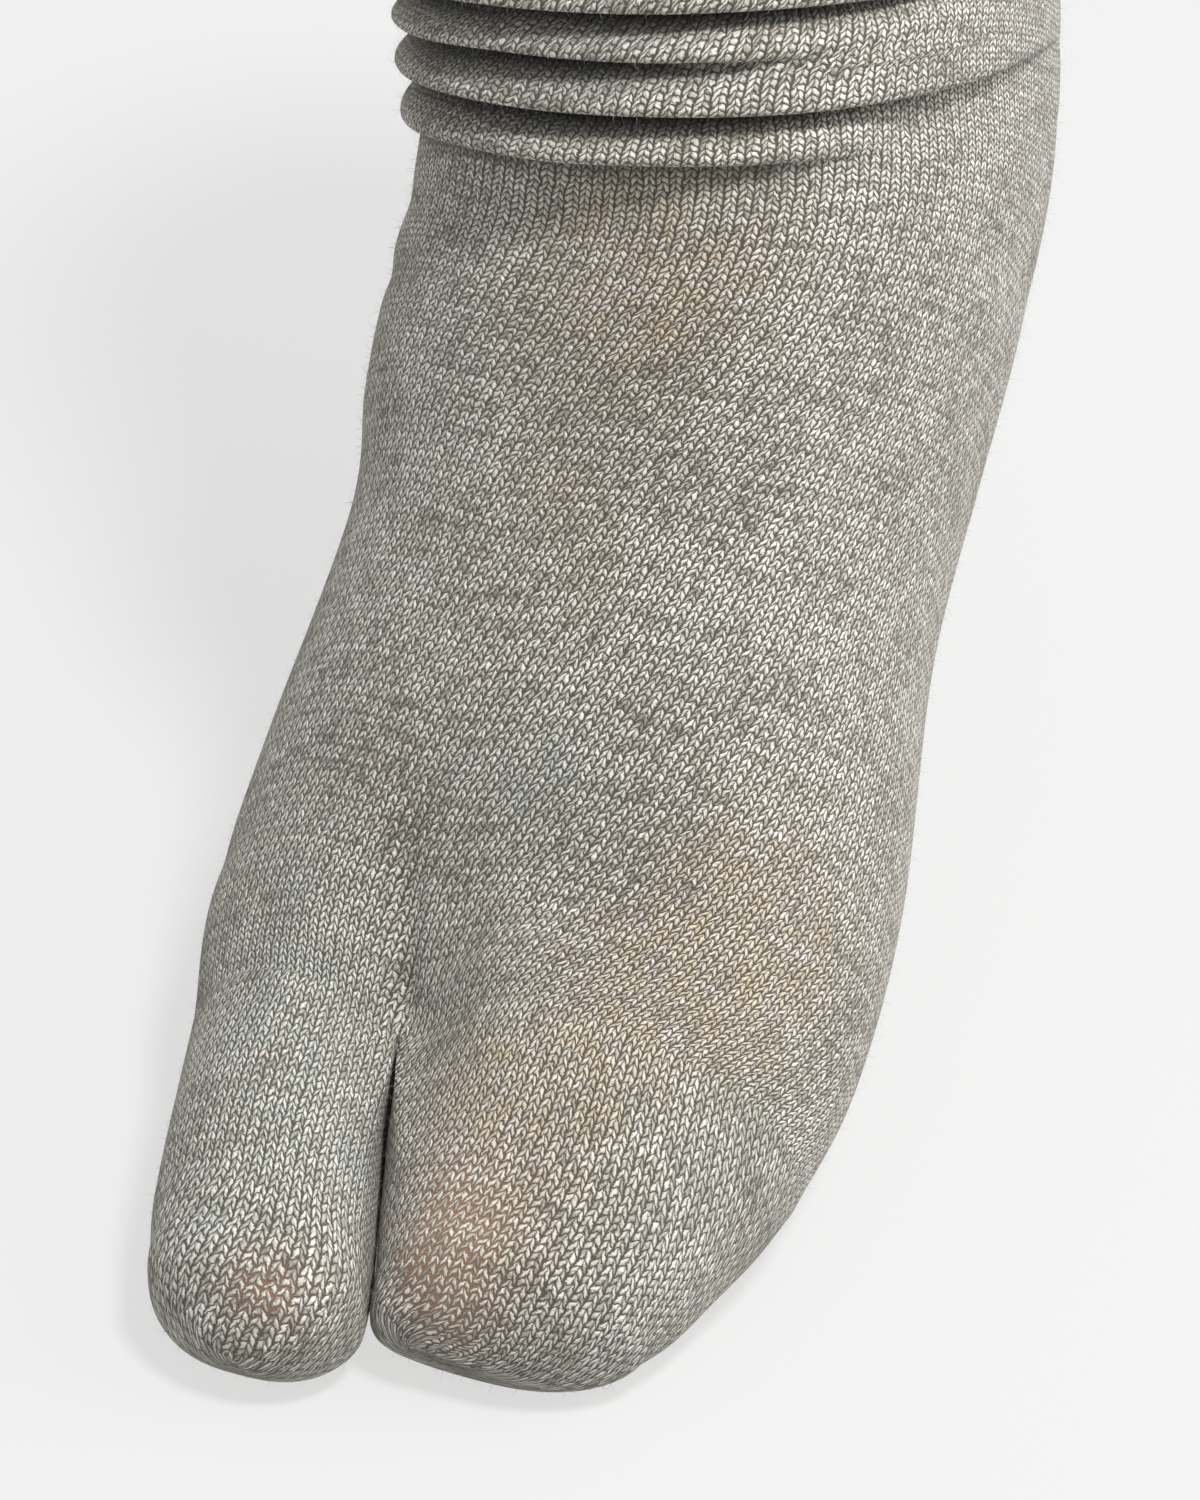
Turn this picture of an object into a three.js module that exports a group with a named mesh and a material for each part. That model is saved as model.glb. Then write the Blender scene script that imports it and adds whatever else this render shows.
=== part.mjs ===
// A split-toe sock of fine jersey in its worn, hollow form: the heel is raised and the leg has
// slipped down into rolls round the ankle. Millimetres, +Z up. X runs to the little-toe side, the
// toes point along -Y. Every stretch is a wall of cloth, worked out ring by ring from the tables.
import * as THREE from 'three';

// Driving dimensions.
const WALL = 1.1;            // thickness of the cloth as a wall
const SEAM = 0.3;            // gap between two stretches of the sock
const MEDIAL_COLUMNS = 12;   // points from the groove between the toes, round the big-toe side, to the sole
const LATERAL_COLUMNS = 20;  // points from there, round the little-toe side, back to the groove
const WEB_COLUMNS = 5;       // points on the cloth between the toes, in each pocket
const RIBS = 36;             // ribs round the cuff
const RIB_HEIGHT = 0.7;      // how far a rib stands out of the cuff
const ANKLE = new THREE.Vector3(0, 105, 135); // centre of the ankle above the floor, the part's origin

// The tube, from the top of the leg to where the toes part. Each ring lies in the plane through its
// top point, its back point and the X direction, tipped so that its little-toe side rises.
const SECTIONS = table(
  ['name', 'topY', 'topZ', 'backY', 'backZ', 'medial', 'lateral', 'centreX', 'rise', 'belly',
    'grooveX', 'grooveTop', 'grooveSole', 'topPower', 'solePower'], [
    ['hem', 90, 254, 175, 222, 41, 38, -5, 0.10, 0.50, -13, 0, 0, 2.0, 2.0],
    ['cuffSeam', 80, 227, 167, 191, 41, 38, -5, 0.14, 0.50, -13, 0, 0, 2.0, 2.0],
    ['slouch', 70, 196, 160, 153, 42.5, 38, -4, 0.16, 0.50, -13, 0, 0, 2.0, 2.0],
    ['bend', 57, 161, 158, 108, 45, 38, -3, 0.18, 0.50, -13, 0, 0, 2.1, 2.1],
    ['ankle', 44, 130, 153, 68, 49.8, 39.4, 1, 0.18, 0.50, -12, 0, 0, 2.1, 2.1],
    ['heel', 36, 115, 131, 46, 50.2, 40, 1, 0.10, 0.49, -12, 0, 0, 2.1, 2.1],
    ['heelFront', 29, 102, 101, 34, 48.8, 40, 0.8, 0.04, 0.48, -12.5, 0, 0, 2.1, 2.2],
    ['arch', 21, 90, 72, 22, 45.3, 40.4, 0.5, 0, 0.46, -13, 0, 0, 2.1, 2.4],
    ['waist', 2, 67, 34, 6, 48.6, 46, 0, 0, 0.42, -14, 0, 0, 2.1, 2.6],
    ['ball', -12, 51, 2, 0.5, 49, 47.2, 0, 0, 0.42, -14.5, 4, 0, 2.1, 2.8],
    ['split', -23, 41.5, -23, 0, 44.4, 45, 0, 0, 0.42, -13.2, 13, 5, 2.2, 2.8],
  ]);

// The two pockets, a row for each section: its place along the foot, its middle, half its width, its
// top and its sole. They turn a little to the little-toe side as they run forward.
const POCKET_COLUMNS = ['y', 'x', 'half', 'top', 'sole', 'power'];
const POCKETS = {
  big_toe: {
    side: -1,
    rows: table(POCKET_COLUMNS, [
      [-23, -29.3, 15.3, 37, 0, 2.3],
      [-34, -27.3, 15.3, 33.5, 0, 2.3],
      [-45, -24.8, 15.7, 30, 0, 2.3],
      [-53, -22.7, 16.1, 27, 0, 2.4],
      [-59, -21.1, 15.7, 24.5, 0.5, 2.4],
    ]),
    tip: { x: -20.2, y: -70.6, z: 9 },
  },
  toes: {
    side: 1,
    rows: table(POCKET_COLUMNS, [
      [-23, 16.2, 28.7, 40, 0, 2.3],
      [-31, 15.7, 26.8, 36.5, 0, 2.3],
      [-39, 14.8, 24.2, 33, 0, 2.3],
      [-46, 13.8, 21.3, 29.5, 0, 2.3],
      [-51, 12.3, 18.2, 26.5, 0.5, 2.3],
    ]),
    tip: { x: 9.5, y: -60.4, z: 9 },
  },
};
const POCKET_BLEND = 10;  // length over which a pocket leaves the tube's section for its own
const TIP_RINGS = 6;      // rings that round off a pocket's end
const WEB_SHARE = 0.2;    // part of a pocket's girth that faces the other pocket
const WEB_APART = 0.5;    // half the gap between the two pockets where they part

// The rolls, from the ankle up. Each starts at a crease and stands out above it. The crease's
// height above the ankle, its distance out of the leg's line and the roll's own distance out are
// each given at four directions round the leg.
const ROLLS = table(
  ['medial', 'front', 'lateral', 'back', 'inMedial', 'inFront', 'inLateral', 'inBack',
    'outMedial', 'outFront', 'outLateral', 'outBack', 'rings'], [
    [0.8, 0.8, 0.8, 0.8, 0, 0, 0, 0, 4.2, 4.0, 0.4, 1.2, 8],
    [11, 7.6, 11, 13, 0.4, 0, 0.3, 0.4, 4.6, 4.7, 2.2, 2.4, 8],
    [19, 16, 20, 23, 0.3, 2.6, 2.0, 0.6, 4.6, 4.4, 2.4, 2.8, 8],
    [27.5, 24.5, 29, 33, 0.3, 0.3, 1.5, 0.6, 4.2, 4.5, 2.5, 3.2, 8],
    [36, 33, 39, 43, 0.4, 0.4, 1.0, 0.4, 4.0, 3.8, 2.6, 3.8, 6],
    [46, 44, 50, 54, 0.3, 0.3, 0.6, 0.3, 3.0, 3.0, 2.8, 3.2, 6],
    [58, 57, 62, 66, 0.2, 0.2, 0.3, 0.2, 1.6, 2.0, 1.6, 2.2, 5],
  ]);
const ROLLS_END = 82;     // height where the leg is plain again
const DROOP = 0.25;       // how far a roll hangs for each millimetre that it stands out
const LEAST_OUT = 0.15;   // a roll never stands out less than this past its creases
const PLAIN_RINGS = 2;    // rings of the plain leg above the rolls

// Rings along the tube between two named sections.
const HEEL_RINGS = 11;
const FOOT_RINGS = 10;
const CUFF_RINGS = 3;
const LEG_STEP = 2;       // spacing of the plain leg's rings, under the rolls

function table(columns, rows) {
  return rows.map((row) => Object.fromEntries(columns.map((name, i) => [name, row[i]])));
}

// The value of each column at a place between the rows, on a smooth curve through them.
function between(rows, place) {
  const last = rows.length - 1;
  const i = Math.min(Math.floor(place), last - 1);
  const t = place - i;
  const mixed = {};
  for (const name of Object.keys(rows[0])) {
    if (typeof rows[0][name] !== 'number') continue;
    const b = rows[i][name];
    const c = rows[i + 1][name];
    const a = i > 0 ? rows[i - 1][name] : 2 * b - c;
    const d = i + 2 <= last ? rows[i + 2][name] : 2 * c - b;
    mixed[name] = 0.5 * (2 * b + (c - a) * t + (2 * a - 5 * b + 4 * c - d) * t * t
      + (3 * b - a - 3 * c + d) * t * t * t);
  }
  return mixed;
}

function placeOf(name) {
  return SECTIONS.findIndex((row) => row.name === name);
}

// Points of a line spread evenly along it, both ends among them.
function spread(line, count) {
  const along = [0];
  for (let i = 1; i < line.length; i++) along.push(along[i - 1] + line[i].distanceTo(line[i - 1]));
  const points = [];
  let i = 1;
  for (let k = 0; k <= count; k++) {
    const at = along[along.length - 1] * k / count;
    while (i < line.length - 1 && along[i] < at) i++;
    const share = (at - along[i - 1]) / (along[i] - along[i - 1]);
    points.push(line[i - 1].clone().lerp(line[i], share));
  }
  return points;
}

// A superellipse as a list of [x, up], from its top and round by the big-toe side.
const OUTLINE_STEPS = 360;
function outline({ medial, lateral, up, down, topPower, solePower }) {
  const points = [];
  for (let i = 0; i < OUTLINE_STEPS; i++) {
    const angle = 2 * Math.PI * i / OUTLINE_STEPS;
    const [s, c] = [-Math.sin(angle), Math.cos(angle)];
    const power = 2 / (c > 0 ? topPower : solePower);
    const x = (s < 0 ? medial : lateral) * Math.sign(s) * Math.abs(s) ** power;
    points.push([x, (c > 0 ? up : down) * Math.sign(c) * Math.abs(c) ** power]);
  }
  return points;
}

// One ring of the tube: first the medial arc, from the groove's top line to its sole line, then the
// lateral arc back.
const GROOVE_WIDTH = 11;
function tubeRing(row, medialColumns = MEDIAL_COLUMNS, lateralColumns = LATERAL_COLUMNS) {
  const top = new THREE.Vector3(0, row.topY, row.topZ);
  const back = new THREE.Vector3(0, row.backY, row.backZ);
  const upward = top.clone().sub(back);
  const length = upward.length();
  upward.normalize();
  const up = (1 - row.belly) * length;
  const down = row.belly * length;
  const centre = back.clone().addScaledVector(upward, down);
  const flat = outline({ ...row, up, down });
  for (const point of flat) {
    const valley = Math.exp(-(((point[0] - row.grooveX) / GROOVE_WIDTH) ** 2));
    if (point[1] > 0) point[1] -= row.grooveTop * valley * point[1] / up;
    else point[1] -= row.grooveSole * valley * point[1] / down;
  }
  const nearest = (upper) => {
    let best = 0;
    let least = Infinity;
    flat.forEach(([x, n], i) => {
      if ((n > 0) === upper && Math.abs(x - row.grooveX) < least) [least, best] = [Math.abs(x - row.grooveX), i];
    });
    return best;
  };
  const [first, turn] = [nearest(true), nearest(false)];
  const points = flat.map(([x, n]) => new THREE.Vector3(x + row.centreX, 0, x * row.rise)
    .add(centre).addScaledVector(upward, n));
  const around = [...points.slice(first), ...points.slice(0, first), points[first]];
  const half = (turn - first + points.length) % points.length;
  const medialArc = spread(around.slice(0, half + 1), medialColumns);
  const lateralArc = spread(around.slice(half), lateralColumns);
  return [...medialArc.slice(0, -1), ...lateralArc.slice(0, -1)];
}

// A closed wall of cloth from its outer rings: the inner rings lie one thickness inside, across the
// cloth, and at an open end both edges lie in the ring's own plane. A closed end has a pole.
function wallOfCloth(rings, closedEnd = false, innerRings = null) {
  const count = rings[0].length;
  const lastRing = rings.length - 1;
  const inner = innerRings ?? rings.map((ring, i) => ring.map((point, j) => {
    const before = ring[(j + count - 1) % count];
    const after = ring[(j + 1) % count];
    const round = after.clone().sub(before);
    const along = rings[Math.min(i + 1, lastRing)][j].clone().sub(rings[Math.max(i - 1, 0)][j]);
    const out = round.cross(along).normalize();
    const openEnd = i === 0 || (i === lastRing && !closedEnd);
    if (openEnd) out.projectOnPlane(planeNormal(ring)).normalize();
    return point.clone().addScaledVector(out, -WALL);
  }));
  const vertices = [...rings.flat(), ...inner.flat()];
  const start = rings.length * count;
  const faces = [];
  for (let i = 0; i < lastRing; i++) {
    for (let j = 0; j < count; j++) {
      const k = (j + 1) % count;
      const [a, b, c, d] = [i * count + j, i * count + k, (i + 1) * count + k, (i + 1) * count + j];
      faces.push([a, b, c], [a, c, d]);
      faces.push([start + a, start + c, start + b], [start + a, start + d, start + c]);
    }
  }
  const rim = (i, flip) => {
    for (let j = 0; j < count; j++) {
      const k = (j + 1) % count;
      const [a, b, c, d] = [i * count + j, i * count + k, start + i * count + k, start + i * count + j];
      faces.push(...(flip ? [[a, b, c], [a, c, d]] : [[a, c, b], [a, d, c]]));
    }
  };
  rim(0, false);
  if (closedEnd) {
    const poles = [rings, inner].map((side) => side[lastRing]
      .reduce((sum, point) => sum.add(point), new THREE.Vector3()).divideScalar(count));
    vertices.push(...poles);
    for (let j = 0; j < count; j++) {
      const k = (j + 1) % count;
      const [a, b] = [lastRing * count + j, lastRing * count + k];
      faces.push([a, b, vertices.length - 2], [start + b, start + a, vertices.length - 1]);
    }
  } else {
    rim(lastRing, true);
  }
  const geometry = new THREE.BufferGeometry();
  geometry.setAttribute('position', new THREE.Float32BufferAttribute(
    vertices.flatMap((v) => [v.x - ANKLE.x, v.y - ANKLE.y, v.z - ANKLE.z]), 3));
  geometry.setIndex(faces.flat());
  geometry.computeVertexNormals();
  return geometry;
}

function planeNormal(ring) {
  const normal = new THREE.Vector3();
  ring.forEach((point, i) => normal.add(point.clone().cross(ring[(i + 1) % ring.length])));
  return normal.normalize();
}

// A ring moved along the tube, across its own plane: forward is towards the toes.
function shifted(ring, forward) {
  const normal = planeNormal(ring);
  return ring.map((point) => point.clone().addScaledVector(normal, forward));
}

// A number at any direction round the leg from its values at four: turn 0 is the front and a
// quarter turn on is the little-toe side.
function round4(medial, front, lateral, back, turn) {
  const mean = (medial + front + lateral + back) / 4;
  const second = (front + back - medial - lateral) / 4;
  return mean + (front - back) / 2 * Math.cos(turn) + (lateral - medial) / 2 * Math.sin(turn)
    + second * Math.cos(2 * turn);
}

// A roll's profile between its two creases, most of a half superellipse: how far it has come up,
// for a pitch of 1, and out, for a roll that stands out by 1, after a share of its cloth.
const ROLL_POWER = 2.4;     // above 2, a roll is flatter outside than a circle
const CREASE_ANGLE = 0.16;  // how far the creases are open on each side, in radians
function rollProfile(share) {
  const power = 2 / ROLL_POWER;
  const angle = CREASE_ANGLE + (Math.PI - 2 * CREASE_ANGLE) * share;
  const rise = Math.sign(Math.cos(angle)) * Math.abs(Math.cos(angle) / Math.cos(CREASE_ANGLE)) ** power;
  const start = Math.sin(CREASE_ANGLE) ** power;
  return [(1 - rise) / 2, (Math.sin(angle) ** power - start) / (1 - start)];
}

// The plain leg under the rolls: rings from the ankle up, a fixed step apart along the leg.
const LEG_SAMPLES = 60;   // sections that the even steps are found between
function plainLeg() {
  const fine = [];
  const [from, to] = [placeOf('ankle'), placeOf('cuffSeam')];
  for (let i = 0; i <= LEG_SAMPLES; i++) {
    fine.push(tubeRing(between(SECTIONS, from + (to - from) * i / LEG_SAMPLES)));
  }
  const middles = fine.map((ring) => ring
    .reduce((sum, point) => sum.add(point), new THREE.Vector3()).divideScalar(ring.length));
  const heights = [0];
  for (let i = 1; i < fine.length; i++) heights.push(heights[i - 1] + middles[i].distanceTo(middles[i - 1]));
  const rings = [];
  let i = 1;
  for (let height = 0; height <= heights[LEG_SAMPLES]; height += LEG_STEP) {
    while (i < LEG_SAMPLES && heights[i] < height) i++;
    const share = (height - heights[i - 1]) / (heights[i] - heights[i - 1]);
    rings.push(fine[i].map((point, j) => fine[i - 1][j].clone().lerp(point, share)));
  }
  return { rings, length: LEG_STEP * (rings.length - 1) };
}

// A place on the leg: a column, a height above the ankle and a distance out of the plain leg.
function onLeg({ rings }, column, height, out) {
  const count = rings[0].length;
  const at = (ring, j) => rings[Math.min(Math.max(ring, 0), rings.length - 1)][(j + count) % count];
  const place = Math.min(Math.max(height / LEG_STEP, 0), rings.length - 1);
  const i = Math.min(Math.floor(place), rings.length - 2);
  const outwardAt = (ring) => {
    const round = at(ring, column + 1).clone().sub(at(ring, column - 1));
    return at(ring + 1, column).clone().sub(at(ring - 1, column)).cross(round).normalize();
  };
  const along = at(i + 1, column).clone().sub(at(i, column)).normalize();
  const outward = outwardAt(i).lerp(outwardAt(i + 1), place - i).normalize();
  return at(i, column).clone().lerp(at(i + 1, column), place - i)
    .addScaledVector(outward, out).addScaledVector(along, height - LEG_STEP * place);
}

function legGeometry() {
  const leg = plainLeg();
  const count = leg.rings[0].length;
  const middle = leg.rings[0].reduce((sum, point) => sum.add(point), new THREE.Vector3()).divideScalar(count);
  const turns = leg.rings[0].map((point) => Math.atan2(point.x - middle.x, middle.y - point.y));
  const plain = { medial: ROLLS_END, front: ROLLS_END, lateral: ROLLS_END, back: ROLLS_END };
  const ends = [...ROLLS, { ...plain, inMedial: 0, inFront: 0, inLateral: 0, inBack: 0 }];
  const height = (k, turn) => round4(ends[k].medial, ends[k].front, ends[k].lateral, ends[k].back, turn);
  const inward = (k, turn) => Math.max(0, round4(
    ends[k].inMedial, ends[k].inFront, ends[k].inLateral, ends[k].inBack, turn));
  const rings = [turns.map((turn, j) => onLeg(leg, j, 0, 0))];
  ROLLS.forEach((roll, k) => {
    for (let step = 0; step < roll.rings; step++) {
      const [up, out] = rollProfile(step / roll.rings);
      rings.push(turns.map((turn, j) => {
        const stand = round4(roll.outMedial, roll.outFront, roll.outLateral, roll.outBack, turn);
        const base = inward(k, turn) * (1 - up) + inward(k + 1, turn) * up;
        const distance = base + Math.max(stand - base, LEAST_OUT) * out;
        const pitch = height(k + 1, turn) - height(k, turn);
        return onLeg(leg, j, height(k, turn) + pitch * up - DROOP * distance, distance);
      }));
    }
  });
  for (let step = 0; step <= PLAIN_RINGS; step++) {
    const plainHeight = ROLLS_END + (leg.length - ROLLS_END) * step / PLAIN_RINGS;
    rings.push(turns.map((turn, j) => onLeg(leg, j, plainHeight, 0)));
  }
  rings[0] = shifted(rings[0], -SEAM / 2);
  const cuffEdge = tubeRing(SECTIONS[placeOf('cuffSeam')]);
  rings[rings.length - 1] = shifted(cuffEdge, SEAM / 2);
  return wallOfCloth(rings.reverse());
}

// A stretch of the plain tube between two named sections.
function tubeGeometry(start, end, count) {
  const [from, to] = [placeOf(start), placeOf(end)];
  const rings = [];
  for (let i = 0; i <= count; i++) rings.push(tubeRing(between(SECTIONS, from + (to - from) * i / count)));
  rings[0] = shifted(rings[0], SEAM / 2);
  rings[count] = shifted(rings[count], -SEAM / 2);
  return wallOfCloth(rings);
}

// The cuff: the tube's own section, with the ribs raised in its outer points over a plain inside.
const POINTS_A_RIB = 4;
const RIB_SHAPE = [0, 1, 1, 0];
function cuffGeometry() {
  const [from, to] = [placeOf('hem'), placeOf('cuffSeam')];
  const count = RIBS * POINTS_A_RIB;
  const medialColumns = Math.round(count * MEDIAL_COLUMNS / (MEDIAL_COLUMNS + LATERAL_COLUMNS));
  const outer = [];
  const inner = [];
  for (let i = 0; i <= CUFF_RINGS; i++) {
    const row = between(SECTIONS, from + (to - from) * i / CUFF_RINGS);
    let ring = tubeRing(row, medialColumns, count - medialColumns);
    if (i === CUFF_RINGS) ring = shifted(ring, -SEAM / 2);
    const across = planeNormal(ring);
    const move = (distances) => ring.map((point, j) => {
      const round = ring[(j + 1) % count].clone().sub(ring[(j + count - 1) % count]);
      return point.clone().addScaledVector(round.cross(across).normalize(), distances(j));
    });
    outer.push(move((j) => RIB_HEIGHT * RIB_SHAPE[j % POINTS_A_RIB]));
    inner.push(move(() => -WALL));
  }
  return wallOfCloth(outer, false, inner);
}

// A pocket's own section, evenly spread from the top line, round the side away from the other
// pocket, to the sole line, and back up the cloth between the toes.
const POCKET_BELLY = 0.42;  // height of a pocket's widest line, as a share of its own height
const SOLE_FULLER = 0.4;    // what a pocket's sole side adds to its superellipse's power
const TIP_STOP = 0.35;      // share of a ring that a pocket's last one stops short of its tip
function middleHeight(row) {
  return row.sole + POCKET_BELLY * (row.top - row.sole);
}

function pocketSection(row, side, arcColumns, z, scale = 1) {
  const middle = middleHeight(row);
  const half = row.half * scale;
  const flat = outline({
    medial: half, lateral: half, up: (row.top - middle) * scale, down: (middle - row.sole) * scale,
    topPower: row.power, solePower: row.power + SOLE_FULLER,
  }).map(([x, n]) => new THREE.Vector3(row.x - side * x, row.y, z + n));
  const closed = [...flat, flat[0]];
  const columns = arcColumns + WEB_COLUMNS;
  const fine = spread(closed, OUTLINE_STEPS).slice(0, -1);
  const start = Math.round(OUTLINE_STEPS * (0.75 + WEB_SHARE / 2));
  const turned = [...fine.slice(start), ...fine.slice(0, start)];
  return spread([...turned, turned[0]], columns).slice(0, -1);
}

function pocketGeometry({ side, rows, tip }) {
  const arcColumns = side < 0 ? MEDIAL_COLUMNS : LATERAL_COLUMNS;
  const splitRing = tubeRing(SECTIONS[placeOf('split')]);
  let arc = splitRing.slice(0, MEDIAL_COLUMNS + 1);
  if (side > 0) arc = [...splitRing.slice(MEDIAL_COLUMNS), splitRing[0]].reverse();
  const start = arc.map((point) => point.clone());
  start[0].x += side * WEB_APART;
  start[arcColumns].x += side * WEB_APART;
  for (let j = 1; j < WEB_COLUMNS; j++) {
    start.push(start[arcColumns].clone().lerp(start[0], j / WEB_COLUMNS));
  }
  const rings = [];
  const steps = 2 * (rows.length - 1);
  for (let i = 0; i <= steps; i++) {
    const row = between(rows, (rows.length - 1) * i / steps);
    const own = pocketSection(row, side, arcColumns, middleHeight(row));
    const forward = rows[0].y - row.y;
    const blend = THREE.MathUtils.smoothstep(forward, 0, POCKET_BLEND);
    rings.push(start.map((point, j) => point.clone().setY(row.y).lerp(own[j], blend)));
  }
  const last = rows[rows.length - 1];
  const lastMiddle = middleHeight(last);
  for (let i = 1; i <= TIP_RINGS; i++) {
    const angle = Math.PI / 2 * i / (TIP_RINGS + TIP_STOP);
    const [shrink, on] = [Math.cos(angle), Math.sin(angle)];
    const row = { ...last, x: last.x + (tip.x - last.x) * on, y: last.y + (tip.y - last.y) * on };
    rings.push(pocketSection(row, side, arcColumns, lastMiddle + (tip.z - lastMiddle) * on, shrink));
  }
  rings[0] = rings[0].map((point) => point.clone().setY(rows[0].y - SEAM / 2));
  if (side > 0) rings.forEach((ring) => ring.reverse());
  return wallOfCloth(rings, true);
}

const JERSEY = new THREE.MeshStandardMaterial({ color: 0x9a9992, roughness: 0.95, metalness: 0 });
const RIB = new THREE.MeshStandardMaterial({ color: 0x93928b, roughness: 0.95, metalness: 0 });

function stretch(name, geometry, material) {
  const mesh = new THREE.Mesh(geometry, material);
  mesh.name = name;
  return mesh;
}

const sock = new THREE.Group();
sock.add(
  stretch('cuff', cuffGeometry(), RIB),
  stretch('leg', legGeometry(), JERSEY),
  stretch('heel', tubeGeometry('ankle', 'arch', HEEL_RINGS), JERSEY),
  stretch('foot', tubeGeometry('arch', 'split', FOOT_RINGS), JERSEY),
  stretch('big_toe', pocketGeometry(POCKETS.big_toe), JERSEY),
  stretch('toes', pocketGeometry(POCKETS.toes), JERSEY),
);

export default sock;
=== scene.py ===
# %% [markdown]
# # A split-toe sock in heather jersey
#
# This lesson dresses one worn, hollow sock. The big toe has a pocket of its own, the heel is
# raised, and the leg has slipped down into soft rolls round the ankle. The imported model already
# holds every stretch of the knitting as a rigid wall at its real size. Here they become one fine
# sheet of jersey with its stitches, its melange yarn, its creases and its fuzz, and a ribbed cuff.
#
# The lesson goes from the large to the small: the frame, the studio, the form, the cloth.

# %% The frame and the units
import math

import bpy
import numpy as np
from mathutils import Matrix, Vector


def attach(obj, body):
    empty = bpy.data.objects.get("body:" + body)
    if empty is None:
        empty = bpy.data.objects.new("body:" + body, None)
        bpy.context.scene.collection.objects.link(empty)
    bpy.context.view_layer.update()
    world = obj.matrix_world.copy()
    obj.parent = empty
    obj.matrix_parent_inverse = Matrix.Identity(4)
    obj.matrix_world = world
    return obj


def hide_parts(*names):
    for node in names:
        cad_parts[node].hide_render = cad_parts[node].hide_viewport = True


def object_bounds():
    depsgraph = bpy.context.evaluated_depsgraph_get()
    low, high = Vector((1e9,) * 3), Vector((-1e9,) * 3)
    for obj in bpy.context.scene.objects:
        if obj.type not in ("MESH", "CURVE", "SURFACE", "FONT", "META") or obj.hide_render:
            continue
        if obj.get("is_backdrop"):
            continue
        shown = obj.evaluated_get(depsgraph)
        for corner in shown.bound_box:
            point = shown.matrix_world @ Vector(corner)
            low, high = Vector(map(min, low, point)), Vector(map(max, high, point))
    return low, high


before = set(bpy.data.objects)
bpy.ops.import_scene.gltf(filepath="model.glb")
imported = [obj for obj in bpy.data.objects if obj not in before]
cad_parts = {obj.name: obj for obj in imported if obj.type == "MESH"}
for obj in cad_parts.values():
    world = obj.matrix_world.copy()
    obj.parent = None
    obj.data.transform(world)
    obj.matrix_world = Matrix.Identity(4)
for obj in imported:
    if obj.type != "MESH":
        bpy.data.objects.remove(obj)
cad_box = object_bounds()

MM = 0.001                                  # the charts below hold millimetres, Blender metres
ANKLE = np.array([0.0, 105.0, 135.0])       # the frame's origin, from the floor under the crotch
FLOOR = -ANKLE[2] * MM
print("stretches of the knitting:", ", ".join(sorted(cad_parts)))

# %% [markdown]
# ## The studio
#
# The picture looks down on the toes from the front and a little from the little-toe side. A long
# lens keeps the foot's proportions. The camera stands at an azimuth and an elevation round one
# point of the instep, so that both angles can be read off the first two numbers.

# %% The camera
AZIMUTH, ELEVATION = math.radians(19), math.radians(44)
DISTANCE = 0.8
LENS = 135.4
LOOKS_AT = Vector((0.0, -0.085, -0.095))
AIM_RIGHT, AIM_UP = 0.00142, 0.00567        # the instep sits a little low and left in the picture
SENSOR, NEAREST = 36, 0.05

back = Vector((
    math.sin(AZIMUTH) * math.cos(ELEVATION), -math.cos(AZIMUTH) * math.cos(ELEVATION), math.sin(ELEVATION)))
right = Vector((math.cos(AZIMUTH), math.sin(AZIMUTH), 0))
upward = back.cross(right)

camera = bpy.data.objects.new("camera", bpy.data.cameras.new("camera"))
camera.data.lens = LENS
camera.data.sensor_width = SENSOR
camera.data.clip_start = NEAREST
camera.location = LOOKS_AT + back * DISTANCE
aim = LOOKS_AT + right * AIM_RIGHT + upward * AIM_UP
camera.rotation_euler = (aim - camera.location).to_track_quat("-Z", "Y").to_euler()
bpy.context.collection.objects.link(camera)
bpy.context.scene.camera = camera

# %% [markdown]
# The light comes from high up and from the little-toe side, so the rolls shade themselves
# underneath and the big-toe edge of the foot turns darker. A small lamp high up does that, a weak
# and wider one lifts the little-toe edge, and a pale world fills the rest. The floor glows a little
# by itself, as a sheet of paper over a light table does, so it stays almost white all over and
# keeps only a soft shadow where the sock rests.

# %% The values of the floor, the world and the lamps
FLOOR_SIZE = 8.0
FLOOR_TONE = (0.15, 0.15, 0.15, 1)
FLOOR_ROUGHNESS = 0.9
FLOOR_SHINE = 0.2
FLOOR_GLOW = 0.65
GLOW_TONE = (1.0, 1.0, 0.995, 1)
WORLD_TONE = (1.0, 1.0, 1.0, 1)
WORLD_STRENGTH = 0.54

# Each lamp: its place, what it points at, how wide it is and its power in watts.
LAMPS = {
    "key": ((0.50, -0.15, 1.35), (0, -0.05, -0.05), 0.3, 22),
    "side": ((0.9, 0.3, 0.5), (0, 0, 0), 0.8, 6),
}

# %% Setting up the floor, the world and the lamps
def floor_material():
    made = bpy.data.materials.new("pale_floor")
    made.use_nodes = True
    shader = made.node_tree.nodes["Principled BSDF"].inputs
    shader["Base Color"].default_value = FLOOR_TONE
    shader["Roughness"].default_value = FLOOR_ROUGHNESS
    shader["Specular IOR Level"].default_value = FLOOR_SHINE
    shader["Emission Color"].default_value = GLOW_TONE
    shader["Emission Strength"].default_value = FLOOR_GLOW
    return made


bpy.ops.mesh.primitive_plane_add(size=FLOOR_SIZE, location=(0, 0, FLOOR))
floor = bpy.context.object
floor.name = "studio_floor"
floor.data.materials.append(floor_material())
floor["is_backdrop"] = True

world = bpy.data.worlds.new("studio")
world.use_nodes = True
world.node_tree.nodes["Background"].inputs["Color"].default_value = WORLD_TONE
world.node_tree.nodes["Background"].inputs["Strength"].default_value = WORLD_STRENGTH
bpy.context.scene.world = world
bpy.context.scene.view_settings.view_transform = "Standard"

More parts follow.
